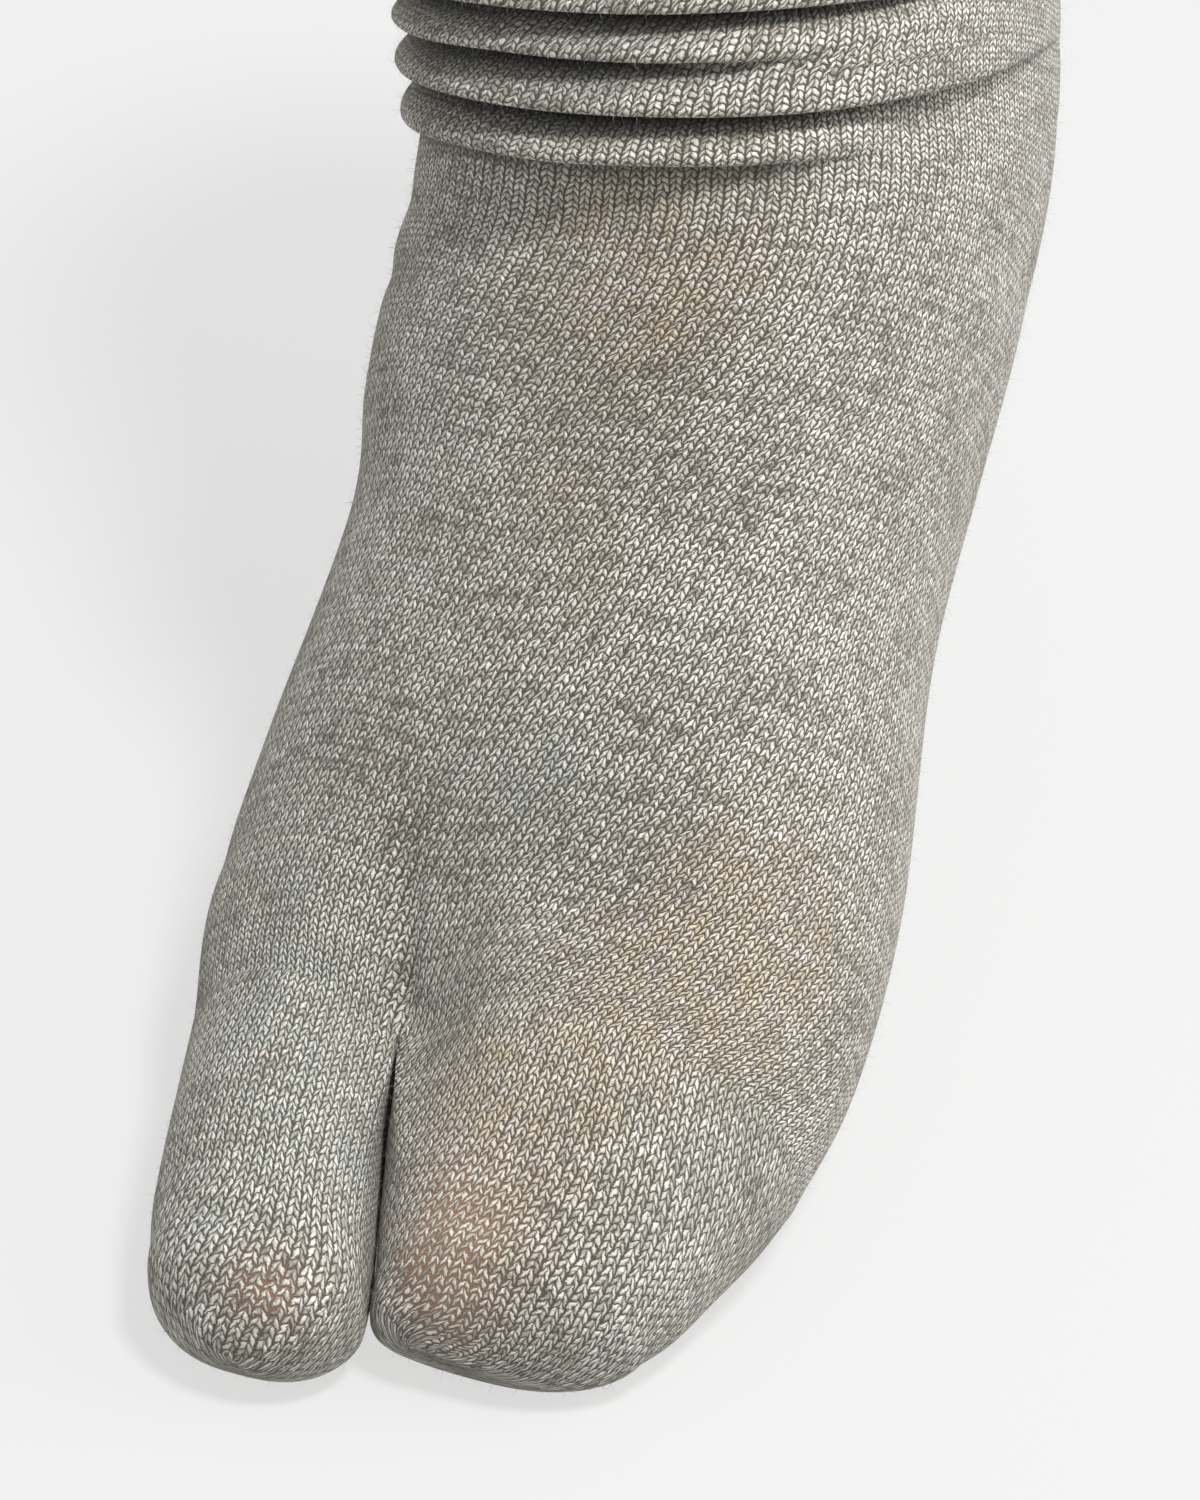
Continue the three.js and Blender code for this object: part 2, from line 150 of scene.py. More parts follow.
for name, (place, target, size, power) in LAMPS.items():
    light = bpy.data.lights.new(name, "AREA")
    light.shape = "DISK"
    light.size = size
    light.energy = power
    lamp = bpy.data.objects.new(name, light)
    lamp.location = place
    lamp.rotation_euler = (Vector(target) - Vector(place)).to_track_quat("-Z", "Y").to_euler()
    bpy.context.collection.objects.link(lamp)
    print("lamp:", name, power, "watts")

# %% [markdown]
# ## The form, from the knitter's chart
#
# A sock is one tube of knitting. Its form is charted as sections, each with its top point, its
# back point and its half widths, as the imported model's form is. A smooth curve through the rows
# gives any section in between, so the visual sock can have a ring for every course or two of the
# knitting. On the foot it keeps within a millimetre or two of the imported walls.

# %% The chart of the tube
SECTION_COLUMNS = (
    "topY topZ backY backZ medial lateral centreX rise belly grooveX grooveTop grooveSole topPower solePower")
SECTIONS = {
    "hem":       (90, 254, 175, 222, 41, 38, -5, .10, .50, -13, 0, 0, 2.0, 2.0),
    "cuffSeam":  (80, 227, 167, 191, 41, 38, -5, .14, .50, -13, 0, 0, 2.0, 2.0),
    "slouch":    (70, 196, 160, 153, 42.5, 38, -4, .16, .50, -13, 0, 0, 2.0, 2.0),
    "bend":      (57, 161, 158, 108, 45, 38, -3, .18, .50, -13, 0, 0, 2.1, 2.1),
    "ankle":     (44, 130, 153, 68, 49.8, 39.4, 1, .18, .50, -12, 0, 0, 2.1, 2.1),
    "heel":      (36, 115, 131, 46, 50.2, 40, 1, .10, .49, -12, 0, 0, 2.1, 2.1),
    "heelFront": (29, 102, 101, 34, 48.8, 40, .8, .04, .48, -12.5, 0, 0, 2.1, 2.2),
    "arch":      (21, 90, 72, 22, 45.3, 40.4, .5, 0, .46, -13, 0, 0, 2.1, 2.4),
    "waist":     (2, 67, 34, 6, 48.6, 46, 0, 0, .42, -14, 0, 0, 2.1, 2.6),
    "ball":      (-12, 50.2, 2, .5, 49, 47.2, 0, 0, .42, -14.5, 4, 0, 2.1, 2.8),
    "split":     (-23, 42.2, -23, 0, 44.4, 45, 0, 0, .42, -13.2, 13, 5, 2.2, 2.8),
}
NAMES = list(SECTIONS)

# How the knitting lies at each of those sections: how many degrees the columns of stitches lean
# off the tube's line, and how high one course is.
LAY_COLUMNS = "lean course"
LAY = {
    "hem": (16, 1.00), "cuffSeam": (18, 1.00), "slouch": (22, 0.98), "bend": (24, 0.95), "ankle": (6, 0.93),
    "heel": (21, 0.98), "heelFront": (21, 1.05), "arch": (18, 1.12), "waist": (17, 1.20), "ball": (15, 1.22),
    "split": (10, 1.25),
}


def chart(columns, rows):
    return columns.split(), np.array(list(rows), float)


def between(table, place):
    """Every column of a chart at a place between its rows, on a smooth curve through them."""
    columns, rows = table
    last = len(rows) - 1
    i = min(int(place), last - 1)
    t = place - i
    b, c = rows[i], rows[i + 1]
    a = rows[i - 1] if i > 0 else 2 * b - c
    d = rows[i + 2] if i + 2 <= last else 2 * c - b
    values = 0.5 * (2 * b + (c - a) * t + (2 * a - 5 * b + 4 * c - d) * t**2 + (3 * b - a - 3 * c + d) * t**3)
    return dict(zip(columns, values))


TUBE = chart(SECTION_COLUMNS, SECTIONS.values())
LIE = chart(LAY_COLUMNS, LAY.values())

# %% [markdown]
# Each section is a superellipse, which is rounder than a box and fuller than an ellipse. The
# groove in front of the crotch is a soft valley pressed into it. Its points are then spread evenly
# over the big-toe side and over the little-toe side, one for each column of stitches: 164 needles
# knit this tube.

# %% One ring of the tube
MEDIAL_WALES, LATERAL_WALES = 64, 100
WALES = MEDIAL_WALES + LATERAL_WALES
GROOVE_WIDTH = 11.0
OUTLINE_STEPS = 1440


def outline(medial, lateral, up, down, top_power, sole_power):
    """A superellipse as [x, up] from its top and round by the big-toe side."""
    angle = np.linspace(0, 2 * np.pi, OUTLINE_STEPS, endpoint=False)
    s, c = -np.sin(angle), np.cos(angle)
    power = 2 / np.where(c > 0, top_power, sole_power)
    x = np.where(s < 0, medial, lateral) * np.sign(s) * np.abs(s) ** power
    n = np.where(c > 0, up, down) * np.sign(c) * np.abs(c) ** power
    return np.stack([x, n], 1)


def lengths(line):
    return np.concatenate([[0], np.cumsum(np.linalg.norm(np.diff(line, axis=0), axis=1))])


def spread(line, count):
    """Points spread evenly along a line, both ends among them."""
    along = lengths(line)
    places = np.linspace(0, along[-1], count + 1)
    return np.stack([np.interp(places, along, line[:, k]) for k in range(line.shape[1])], 1)


def tube_ring(place):
    """The ring at a place on the chart: the medial arc from the groove to the sole, then back."""
    row = between(TUBE, place)
    top, sole = np.array([0, row["topY"], row["topZ"]]), np.array([0, row["backY"], row["backZ"]])
    length = np.linalg.norm(top - sole)
    rising = (top - sole) / length
    up, down = (1 - row["belly"]) * length, row["belly"] * length
    flat = outline(row["medial"], row["lateral"], up, down, row["topPower"], row["solePower"])
    valley = np.exp(-(((flat[:, 0] - row["grooveX"]) / GROOVE_WIDTH) ** 2))
    over = flat[:, 1] > 0
    depth = np.where(over, row["grooveTop"] * flat[:, 1] / up, row["grooveSole"] * flat[:, 1] / down)
    flat[:, 1] -= depth * valley
    off = np.abs(flat[:, 0] - row["grooveX"])
    first, turn = np.argmin(np.where(over, off, np.inf)), np.argmin(np.where(over, np.inf, off))
    x = flat[:, 0]
    points = sole + rising * down + np.stack([x + row["centreX"], 0 * x, x * row["rise"]], 1)
    points = points + flat[:, 1:] * rising
    around = np.roll(points, -first, axis=0)
    around = np.vstack([around, around[:1]])
    half = (turn - first) % len(points)
    medial, lateral = spread(around[:half + 1], MEDIAL_WALES), spread(around[half:], LATERAL_WALES)
    return np.vstack([medial[:-1], lateral[:-1]])


print("girth at the ankle: %.0f mm" % lengths(tube_ring(NAMES.index("ankle")))[-1])

# %% [markdown]
# ## The rolls round the ankle
#
# A slipped sock leg buckles like any tube that is pushed together: the cloth swings out of the
# leg's line and back, over and over, and each bulge hangs a little over the crease under it. Two
# sine waves would give rolls that are all alike. A chart says it better: for each crease its height
# and how far in it lies, and for each roll how far it stands out, at the four sides of the leg. So
# a roll can be fat in front and die out at the back. A second short chart adds what makes a real
# roll uneven: places where it pinches, swells, slips down, or where its crease is filled.

# %% The chart of the rolls
ROLL_COLUMNS = (
    "medial front lateral back inMedial inFront inLateral inBack outMedial outFront outLateral outBack")
ROLLS = chart(ROLL_COLUMNS, [
    (2.2, 4.2, 2.5, 1.5, 0, 0, 0, 0, 2.9, 4.4, .2, 1.2),
    (12.4, 11.7, 14, 14, -3.0, -3.2, 0, .2, 4.1, 5.0, 1.1, 2.4),
    (19.6, 19.9, 23, 23, -3.0, 0, 1.0, .4, 5.0, 4.8, 1.2, 2.8),
    (27.1, 26.4, 31, 33, -2.8, -3.0, .4, .4, 5.6, 4.9, 1.3, 3.2),
    (36, 34.5, 40, 43, -1.6, -1.6, .4, .3, 4.4, 4.0, 2.0, 3.8),
    (46, 44, 50, 54, -.4, -.4, .6, .3, 3.0, 3.0, 2.8, 3.2),
    (58, 57, 62, 66, .2, .2, .3, .2, 1.6, 2.0, 1.6, 2.2),
])
ROLLS_END = 82.0
DROOP = 0.55          # how far a roll hangs for each millimetre that it stands out
DEEPEST = -3.8        # a crease never lies further in than this
LEAST_OUT = 0.15      # a roll never stands out less than this past its creases
ROLL_POWER = 2.1      # above 2, a roll is flatter outside and its creases are tighter
CREASE_FLOOR = 0.10   # share of a roll's height at each end that stays down in the crease
FOLD_SHADE_DEPTH = 4.6      # a place this far behind its roll's crest gets the whole painted shade of the folds
ROLL_RINGS = 17       # rings of the mesh in each roll
PLAIN_RINGS = 10      # and in the plain leg above the rolls

# Where a roll changes: its number, the direction in degrees from the front towards the little
# toe, how far round that reaches, and what it adds to how far the roll stands out, to the height of
# the crease under it and to how far out that crease lies.
UNEVEN_COLUMNS = "roll towards reach out lift fill"
UNEVEN = chart(UNEVEN_COLUMNS, [
    (0, 52, 32, -3.8, 0.0, 0),
    (0, -12, 12, .4, 0.0, 0),
    (0, -62, 14, -.5, 0.0, 0),
    (1, -35, 14, .3, .7, 0),
    (1, 22, 16, -.4, -.6, 0),
    (1, 78, 20, .4, .8, .3),
    (2, -58, 16, .4, .8, -.2),
    (2, -24, 16, -.3, .4, -1.8),
    (2, 32, 25, -.3, .5, 3.0),
    (2, 70, 20, .2, -.6, .8),
    (3, -20, 18, .3, .9, 0),
    (3, 35, 12, -.5, -.9, .2),
    (3, 140, 26, .6, 1.0, 0),
    (4, -95, 22, .4, -.8, 0),
    (4, 64, 18, .4, 1.3, .2),
    (4, 170, 24, -.5, .9, .3),
    (5, -30, 20, .5, 1.2, 0),
    (5, 110, 22, .5, -1.0, .3),
    (5, -150, 24, -.4, 1.4, 0),
    (6, 20, 24, .4, 1.5, .2),
    (6, -120, 26, .5, -1.2, 0),
])

# %% The leg with its rolls
LEG_STEP = 2.0            # from one ring of the leg without rolls to the next
LEG_SAMPLES = 60


def round4(medial, front, lateral, back_value, turn):
    """A value at any direction round the leg from its values at four sides."""
    mean = (medial + front + lateral + back_value) / 4
    second = (front + back_value - medial - lateral) / 4
    return (mean + (front - back_value) / 2 * np.cos(turn) + (lateral - medial) / 2 * np.sin(turn)
            + second * np.cos(2 * turn))


def plain_leg():
    """Rings of the leg without its rolls, a fixed step apart along it."""
    first, last = NAMES.index("cuffSeam"), NAMES.index("ankle")
    fine = np.array([tube_ring(place) for place in np.linspace(last, first, LEG_SAMPLES + 1)])
    heights = lengths(fine.mean(axis=1))
    wanted = np.arange(0, heights[-1], LEG_STEP)
    flat = fine.reshape(len(fine), -1)
    rings = np.stack([np.interp(wanted, heights, flat[:, k]) for k in range(flat.shape[1])], 1)
    return rings.reshape(len(wanted), WALES, 3)


def unit(v):
    return v / np.linalg.norm(v, axis=-1, keepdims=True)


def outward_of(rings, i):
    """The direction out of the leg at each column's own ring."""
    columns = np.arange(WALES)
    above, under = np.minimum(i + 1, len(rings) - 1), np.maximum(i - 1, 0)
    along = rings[above, columns] - rings[under, columns]
    return unit(np.cross(along, rings[i, (columns + 1) % WALES] - rings[i, columns - 1]))


def on_leg(rings, height, out):
    """The point of each column at its own height above the ankle and its own distance out."""
    columns = np.arange(WALES)
    place = np.clip(height / LEG_STEP, 0, len(rings) - 1)
    i = np.minimum(place.astype(int), len(rings) - 2)
    t = (place - i)[:, None]
    point = rings[i, columns] * (1 - t) + rings[i + 1, columns] * t
    along = unit(rings[i + 1, columns] - rings[i, columns])
    outward = unit(outward_of(rings, i) * (1 - t) + outward_of(rings, i + 1) * t)
    return point + outward * out[:, None] + along * (height - LEG_STEP * place)[:, None]


def roll_profile(share):
    """How far a roll has come up and out, for a pitch and a stand of 1, after a share of its cloth."""
    angle = math.pi * share
    cosine = math.cos(angle)
    up = 0.5 - (0.5 - CREASE_FLOOR) * math.copysign(abs(cosine) ** (2 / ROLL_POWER), cosine)
    return (up if share else 0.0), math.sin(angle) ** (2 / ROLL_POWER)


def unevenness(roll, turn, what):
    """What the chart of uneven places adds to a roll, all round."""
    total = np.zeros(len(turn))
    for row in UNEVEN[1]:
        place = dict(zip(UNEVEN[0], row))
        if int(place["roll"]) == roll:
            off = (turn - math.radians(place["towards"]) + np.pi) % (2 * np.pi) - np.pi
            total += place[what] * np.exp(-((off / math.radians(place["reach"])) ** 2))
    return total


def leg_rings():
    """The leg from the ankle up through every roll to the cuff, and how deep each point of the
    rolls lies in the folds, which sets how much painted shade it gets."""
    rings = plain_leg()
    middle = rings[0].mean(axis=0)
    turn = np.arctan2(rings[0][:, 0] - middle[0], middle[1] - rings[0][:, 1])
    rows = [dict(zip(ROLLS[0], row)) for row in ROLLS[1]]
    creases, inward = [], []
    for k, r in enumerate(rows):
        creases.append(round4(r["medial"], r["front"], r["lateral"], r["back"], turn)
                       + unevenness(k, turn, "lift"))
        lies_in = round4(r["inMedial"], r["inFront"], r["inLateral"], r["inBack"], turn)
        inward.append(np.maximum(lies_in + unevenness(k, turn, "fill"), DEEPEST))
    creases.append(ROLLS_END + 0 * turn)
    inward.append(0 * turn)
    made, fold_shade_made = [], []
    for k, r in enumerate(rows):
        stand = round4(r["outMedial"], r["outFront"], r["outLateral"], r["outBack"], turn)
        stand = stand + unevenness(k, turn, "out")
        for step in range(ROLL_RINGS):
            up, out = roll_profile(step / ROLL_RINGS)
            base = inward[k] * (1 - up) + inward[k + 1] * up
            distance = base + np.maximum(stand - base, LEAST_OUT) * out
            height = creases[k] * (1 - up) + creases[k + 1] * up - DROOP * distance
            made.append(on_leg(rings, height, distance))
            # How deep the point lies in the folds: the share of painted shade it gets.
            fold_shade_made.append(np.clip((stand - distance) / FOLD_SHADE_DEPTH, 0, 1))
    top = LEG_STEP * (len(rings) - 1)
    for step in range(PLAIN_RINGS):
        height = ROLLS_END + (top - ROLLS_END) * step / PLAIN_RINGS
        made.append(on_leg(rings, height + 0 * turn, 0 * turn))
    made.append(tube_ring(NAMES.index("cuffSeam")))
    return made, fold_shade_made


leg, fold_shade_shares = leg_rings()
print("rings in the leg:", len(leg))

# %% The foot down to where the toes part
FOOT_RINGS = 92


def foot_rings():
    first, last = NAMES.index("ankle"), NAMES.index("split")
    return [tube_ring(place) for place in np.linspace(first, last, FOOT_RINGS + 1)]


tube = np.array([*reversed(leg), *foot_rings()])
tube_places = np.concatenate([
    np.linspace(NAMES.index("cuffSeam"), NAMES.index("ankle"), len(leg) + 1)[:-1],
    np.linspace(NAMES.index("ankle"), NAMES.index("split"), FOOT_RINGS + 1)])
ANKLE_RING = len(leg)
print("rings from the cuff to the crotch:", len(tube))

# %% [markdown]
# ## The two pockets
#
# Past the crotch the tube becomes two. Each pocket takes over its share of the tube's columns, and
# the strip between the toes gets columns of its own. The first ring of a pocket is the tube's last
# one, and over 24 mm it eases into the pocket's own section. The ends are rounded off ring by ring,
# where the knitter narrows.

# %% The chart of the pockets
# Besides its sections each pocket has the middle of its tip, the column that keeps its place while
# the others close in, the width and the lean of its columns at its start, halfway and near its
# end, and how much its courses climb to one side.
POCKET_COLUMNS = "y x half top sole power"
POCKETS = {
    "big_toe": {
        "side": -1, "rows": chart(POCKET_COLUMNS, [
            (-23, -29.3, 15.3, 37, 0, 2.3),
            (-34, -27.3, 15.3, 33.5, 0, 2.3),
            (-45, -24.8, 15.7, 30, 0, 2.3),
            (-53, -22.7, 16.1, 27, 0, 2.4),
            (-59, -21.1, 15.7, 24.5, .5, 2.4)]),
        "tip": {"x": -20.2, "y": -70.6, "z": 9}, "middle": 10,
        "wale": (1.42, 1.42, 2.0), "lean": (8, 4, 2), "skew": 0.0},
    "toes": {
        "side": 1, "rows": chart(POCKET_COLUMNS, [
            (-23, 16.2, 28.7, 40, 0, 2.3),
            (-31, 15.7, 26.8, 36.5, 0, 2.3),
            (-39, 14.8, 24.2, 33, 0, 2.3),
            (-46, 14.0, 21.9, 29.5, 0, 2.3),
            (-51, 12.9, 19.8, 26.5, .5, 2.3)]),
        "tip": {"x": 9.5, "y": -60.4, "z": 9}, "middle": 22,
        "wale": (1.42, 1.8, 1.9), "lean": (14, 8, -4), "skew": 0.16},
}
POCKET_BLEND = 24.0       # over this length a pocket leaves the tube's section for its own
POCKET_RINGS = 36
TIP_RINGS = 16
TIP_POWER = 1.92          # below 2, a tip is a little more pointed than an ellipse
WEB_WALES = 16            # columns in the strip between the toes
WEB_SHARE = 0.15          # and its share of the way round a pocket
POCKET_BELLY = 0.42       # how high the widest place of a pocket lies, as a share of its height
SOLE_FULLER = 0.4         # how much squarer a pocket is under the toes

# %% One ring of a pocket
def belly(row):
    return row["sole"] + POCKET_BELLY * (row["top"] - row["sole"])


def pocket_section(row, side, columns, z, scale=1.0):
    """One ring of a pocket: first the columns that come from the tube, then the strip's."""
    middle = belly(row)
    flat = outline(row["half"] * scale, row["half"] * scale, (row["top"] - middle) * scale,
                   (middle - row["sole"]) * scale, row["power"], row["power"] + SOLE_FULLER)
    points = np.stack([row["x"] - side * flat[:, 0], row["y"] + 0 * flat[:, 0], z + flat[:, 1]], 1)
    fine = spread(np.vstack([points, points[:1]]), OUTLINE_STEPS)[:-1]
    start, web = round(OUTLINE_STEPS * (0.75 + WEB_SHARE / 2)), round(OUTLINE_STEPS * WEB_SHARE)
    turned = np.roll(fine, -start, axis=0)
    turned = np.vstack([turned, turned[:1]])
    around, strip = turned[:len(fine) - web + 1], turned[len(fine) - web:]
    return np.vstack([spread(around, columns - WEB_WALES), spread(strip, WEB_WALES)[1:-1]])


def smoothstep(x, low, high):
    t = np.clip((x - low) / (high - low), 0, 1)
    return t * t * (3 - 2 * t)


# The slit between the pockets, as its place along the foot and across it. Both press on it.
SLIT = np.array([(-60, -4.9), (-53, -6.2), (-45, -8.5), (-34, -11.5), (-23, -13.2)])
SLIT_APART = 0.12         # half of what stays between the pressed sides
PRESSED = 6.0             # how deep the sides give way
PRESS_ENDS = (-64.0, -57.0)   # where the pressing has faded out at the tips and where it is whole


def pressed(ring, side):
    """A pocket's ring with the side that faces the slit moved on to it."""
    off = side * (ring[:, 0] - np.interp(ring[:, 1], SLIT[:, 0], SLIT[:, 1]))
    gap = off.min() - SLIT_APART
    fade = smoothstep(ring[:, 1].mean(), *PRESS_ENDS)
    moved = ring.copy()
    moved[:, 0] -= side * gap * fade * np.exp(-(((off - off.min()) / PRESSED) ** 2))
    return moved


def pocket_rings(pocket, start):
    """Rings of a pocket from its first one, which the tube and the strip between the toes give."""
    table, side, tip = pocket["rows"], pocket["side"], pocket["tip"]
    last = len(table[1]) - 1
    first = between(table, 0)
    rings = [start]
    for place in np.linspace(0, last, POCKET_RINGS + 1)[1:]:
        row = between(table, place)
        own = pocket_section(row, side, len(start), belly(row))
        blend = smoothstep(table[1][0][0] - row["y"], 0, POCKET_BLEND)
        carried = np.stack([
            row["x"] + (start[:, 0] - first["x"]) * row["half"] / first["half"],
            start[:, 1] + row["y"] - first["y"], start[:, 2] * row["top"] / first["top"]], 1)
        rings.append(pressed(carried * (1 - blend) + own * blend, side))
    middle = belly(row)
    for i in range(1, TIP_RINGS + 1):
        angle = math.pi / 2 * i / (TIP_RINGS + 0.5)
        on = math.sin(angle) ** (2 / TIP_POWER)
        ring = {**row, "x": row["x"] + (tip["x"] - row["x"]) * on, "y": row["y"] + (tip["y"] - row["y"]) * on}
        own = pocket_section(ring, side, len(start), middle + (tip["z"] - middle) * on,
                             math.cos(angle) ** (2 / TIP_POWER))
        rings.append(pressed(own, side))
    return np.array(rings)


crotch = np.linspace(tube[-1][MEDIAL_WALES], tube[-1][0], WEB_WALES + 1)[1:-1]
starts = {
    "big_toe": np.vstack([tube[-1][:MEDIAL_WALES + 1], crotch]),
    "toes": np.vstack([tube[-1][:1], tube[-1][:MEDIAL_WALES - 1:-1], crotch]),
}
pockets = {name: pocket_rings(POCKETS[name], starts[name]) for name in POCKETS}
print("columns in the pockets:", {name: rings.shape[1] for name, rings in pockets.items()})

# %% [markdown]
# ## One mesh for the whole sheet
#
# The rings now become one mesh, so the cloth runs on unbroken from the rolls to both toe tips.
# Every corner carries two numbers in a UV map named knit: the column of stitches and the course.
# The jersey's material counts its stitches by them.
#
# Courses are counted back from where the toes part. In front a column counts only a third of its
# own longer way, so the courses bend up a little at both sides. Behind, it counts in full. The
# leg's courses are counted from the ankle up. The two counts differ behind the ankle, and the line
# where they meet runs down from each side: that is the gore of a knitted heel.

# %% Counting the columns and the courses
OWN_WAY = (0.35, 1.0)     # how much of its own longer way a column counts, in front and behind
BEHIND = (95.0, 150.0)    # degrees from the front where a column starts and ends to lie behind
GORE_DEEPEST = 1.6        # rows of the chart from the ankle down to the gore's lowest point
FRONT_REACH = 15.0        # degrees to each side that count as the front

ankle_ring = tube[ANKLE_RING]
ankle_middle = ankle_ring.mean(axis=0)
COLUMN_TURN = np.degrees(
    np.arctan2(ankle_ring[:, 0] - ankle_middle[0], ankle_middle[1] - ankle_ring[:, 1]))


def edges(values):
    """The values at both edges of every column, from one value for each point of a ring."""
    return np.stack([values, np.roll(values, -1, axis=1)], 2)


def knit_tube():
    """For each point of the tube its column and its course, the course once as the leg counts it
    and once as the foot does, and how far the columns have turned by the end."""
    step = np.linalg.norm(np.diff(tube, axis=0), axis=2)
    lie = [between(LIE, place) for place in tube_places]
    course = np.array([row["course"] for row in lie])[1:, None]
    lean = np.radians([row["lean"] for row in lie])
    front = step[:, abs(COLUMN_TURN) < FRONT_REACH].mean(axis=1)
    girth = np.linalg.norm(np.diff(tube, axis=1, append=tube[:, :1]), axis=2).sum(axis=1)
    wale = girth / WALES
    spine = np.linalg.norm(np.diff(tube.mean(axis=1), axis=0), axis=1)
    behind = smoothstep(abs(COLUMN_TURN), *BEHIND)
    own = OWN_WAY[0] + (OWN_WAY[1] - OWN_WAY[0]) * behind
    foot_way = (own * step + (1 - own) * front[:, None]) / course
    by_foot = -np.vstack([np.cumsum(foot_way[::-1], axis=0)[::-1], 0 * step[:1]])
    longer = ((step - front[:, None]) / course)[ANKLE_RING:].sum(axis=0)
    at_side = longer[abs(abs(COLUMN_TURN) - BEHIND[0]) < FRONT_REACH].mean()
    at_ankle = by_foot[ANKLE_RING, np.argmin(abs(COLUMN_TURN))] - OWN_WAY[0] * (
        longer * (1 - behind) + at_side * behind)
    by_leg = np.vstack([0 * step[:1], np.cumsum(step / course, axis=0)])
    by_leg += at_ankle - by_leg[ANKLE_RING]
    turned = np.concatenate([[0], np.cumsum(np.tan(lean[1:]) * np.minimum(spine, front) / wale[1:])])
    corner = np.stack([np.arange(WALES), np.arange(WALES) + 1], 1)
    columns = corner[None] - turned[:, None, None]
    return columns, edges(by_leg), edges(by_foot), turned[-1]


tube_columns, leg_courses, foot_courses, turned_so_far = knit_tube()
gore = NAMES.index("ankle") + GORE_DEEPEST * np.clip(
    (abs(COLUMN_TURN) - BEHIND[0]) / (180 - BEHIND[0]), 0, 1)
print("courses in the foot: %.0f" % -foot_courses[ANKLE_RING, 0, 0])

# %% The same count in the pockets
POCKET_COURSE = (1.25, 1.42)    # height of a course where the toes part and at the tips
POCKET_STAGES = (0, 0.5, 0.8)   # shares of a pocket at which the chart gives widths and leans
OWN_POCKET_WAY = 0.6            # how much of its own way a column of a pocket counts


def knit_pocket(name, rings):
    """The same for a pocket. Its columns keep their width as it narrows and end along the sole."""
    pocket = POCKETS[name]
    count = rings.shape[1]
    arc = MEDIAL_WALES if name == "big_toe" else LATERAL_WALES
    sign = 1 if name == "big_toe" else -1
    girth = np.linalg.norm(np.diff(rings, axis=1, append=rings[:, :1]), axis=2).sum(axis=1)
    along = np.arange(len(rings)) / (len(rings) - 1)
    wale = np.interp(along, POCKET_STAGES, pocket["wale"])
    scale = np.minimum(girth / count / wale, 1.0)
    scale[0] = 1.0
    way = np.linalg.norm(np.diff(rings, axis=0), axis=2)
    way = OWN_POCKET_WAY * way + (1 - OWN_POCKET_WAY) * way[:, :arc // 2].mean(axis=1)[:, None]
    lean = np.radians(np.interp(along, POCKET_STAGES, pocket["lean"]))
    turned = np.concatenate([[0], np.cumsum(np.tan(lean[1:]) * way.mean(axis=1) / wale[1:])])
    turned += turned_so_far
    relative = (np.arange(count) - pocket["middle"] + count // 2) % count - count // 2
    corner = np.stack([relative, relative + 1], 1)
    columns = sign * (pocket["middle"] + corner[None] * scale[:, None, None]) - turned[:, None, None]
    course = np.interp(along, [0, 1], POCKET_COURSE)
    courses = np.vstack([0 * way[:1], np.cumsum(way / course[1:, None], axis=0)])
    aside = rings[:, :, 0] - pocket["rows"][1][0][1]
    skew = pocket["skew"] * smoothstep(along, 0, 0.5)[:, None] * aside
    return columns, edges(courses - skew / course[:, None])


# %% Joining the rings into one mesh
TIP_COURSE = 0.3          # courses from a pocket's last ring to the point that closes it


def face_corners(columns, courses):
    """The knit map at the corners of one round of faces, from the edges of two rings' columns."""
    before, after = np.stack([columns[0], courses[0]], 2), np.stack([columns[1], courses[1]], 2)
    return np.stack([before[:, 0], before[:, 1], after[:, 1], after[:, 0]], 1)


def tube_faces():
    """The faces of the tube with their corners in the knit map."""
    a = np.arange(WALES)
    b = (a + 1) % WALES
    faces, uvs = [], []
    for i in range(len(tube) - 1):
        faces.append(np.stack([a, b, b + WALES, a + WALES], 1) + i * WALES)
        in_leg = ((tube_places[i] + tube_places[i + 1]) / 2 < gore)[:, None]
        courses = [np.where(in_leg, leg_courses[k], foot_courses[k]) for k in (i, i + 1)]
        uvs.append(face_corners(tube_columns[i:i + 2], courses))
    return faces, uvs


def pocket_faces(name, rings, first_ids, used):
    """The same for a pocket, and its closed tip. Its own points are numbered from used on."""
    count = rings.shape[1]
    columns, courses = knit_pocket(name, rings)
    own_ids = used + np.arange((len(rings) - 1) * count).reshape(-1, count)
    ids = [first_ids, *own_ids]
    way_round = 1 if name == "big_toe" else -1
    faces, uvs = [], []
    for i in range(len(rings) - 1):
        quad = np.stack([ids[i], np.roll(ids[i], -1), np.roll(ids[i + 1], -1), ids[i + 1]], 1)
        faces.append(quad[:, ::way_round])
        uvs.append(face_corners(columns[i:i + 2], courses[i:i + 2])[:, ::way_round])
    tri = np.stack([ids[-1], np.roll(ids[-1], -1), np.full(count, used + own_ids.size)], 1)
    closing = np.stack([columns[-1].mean(axis=1), courses[-1][:, 0] + TIP_COURSE], 1)
    last = np.stack([columns[-1], courses[-1]], 2)
    corner = np.stack([last[:, 0], last[:, 1], closing], 1)
    return faces, uvs, (tri[:, ::way_round], corner[:, ::way_round])


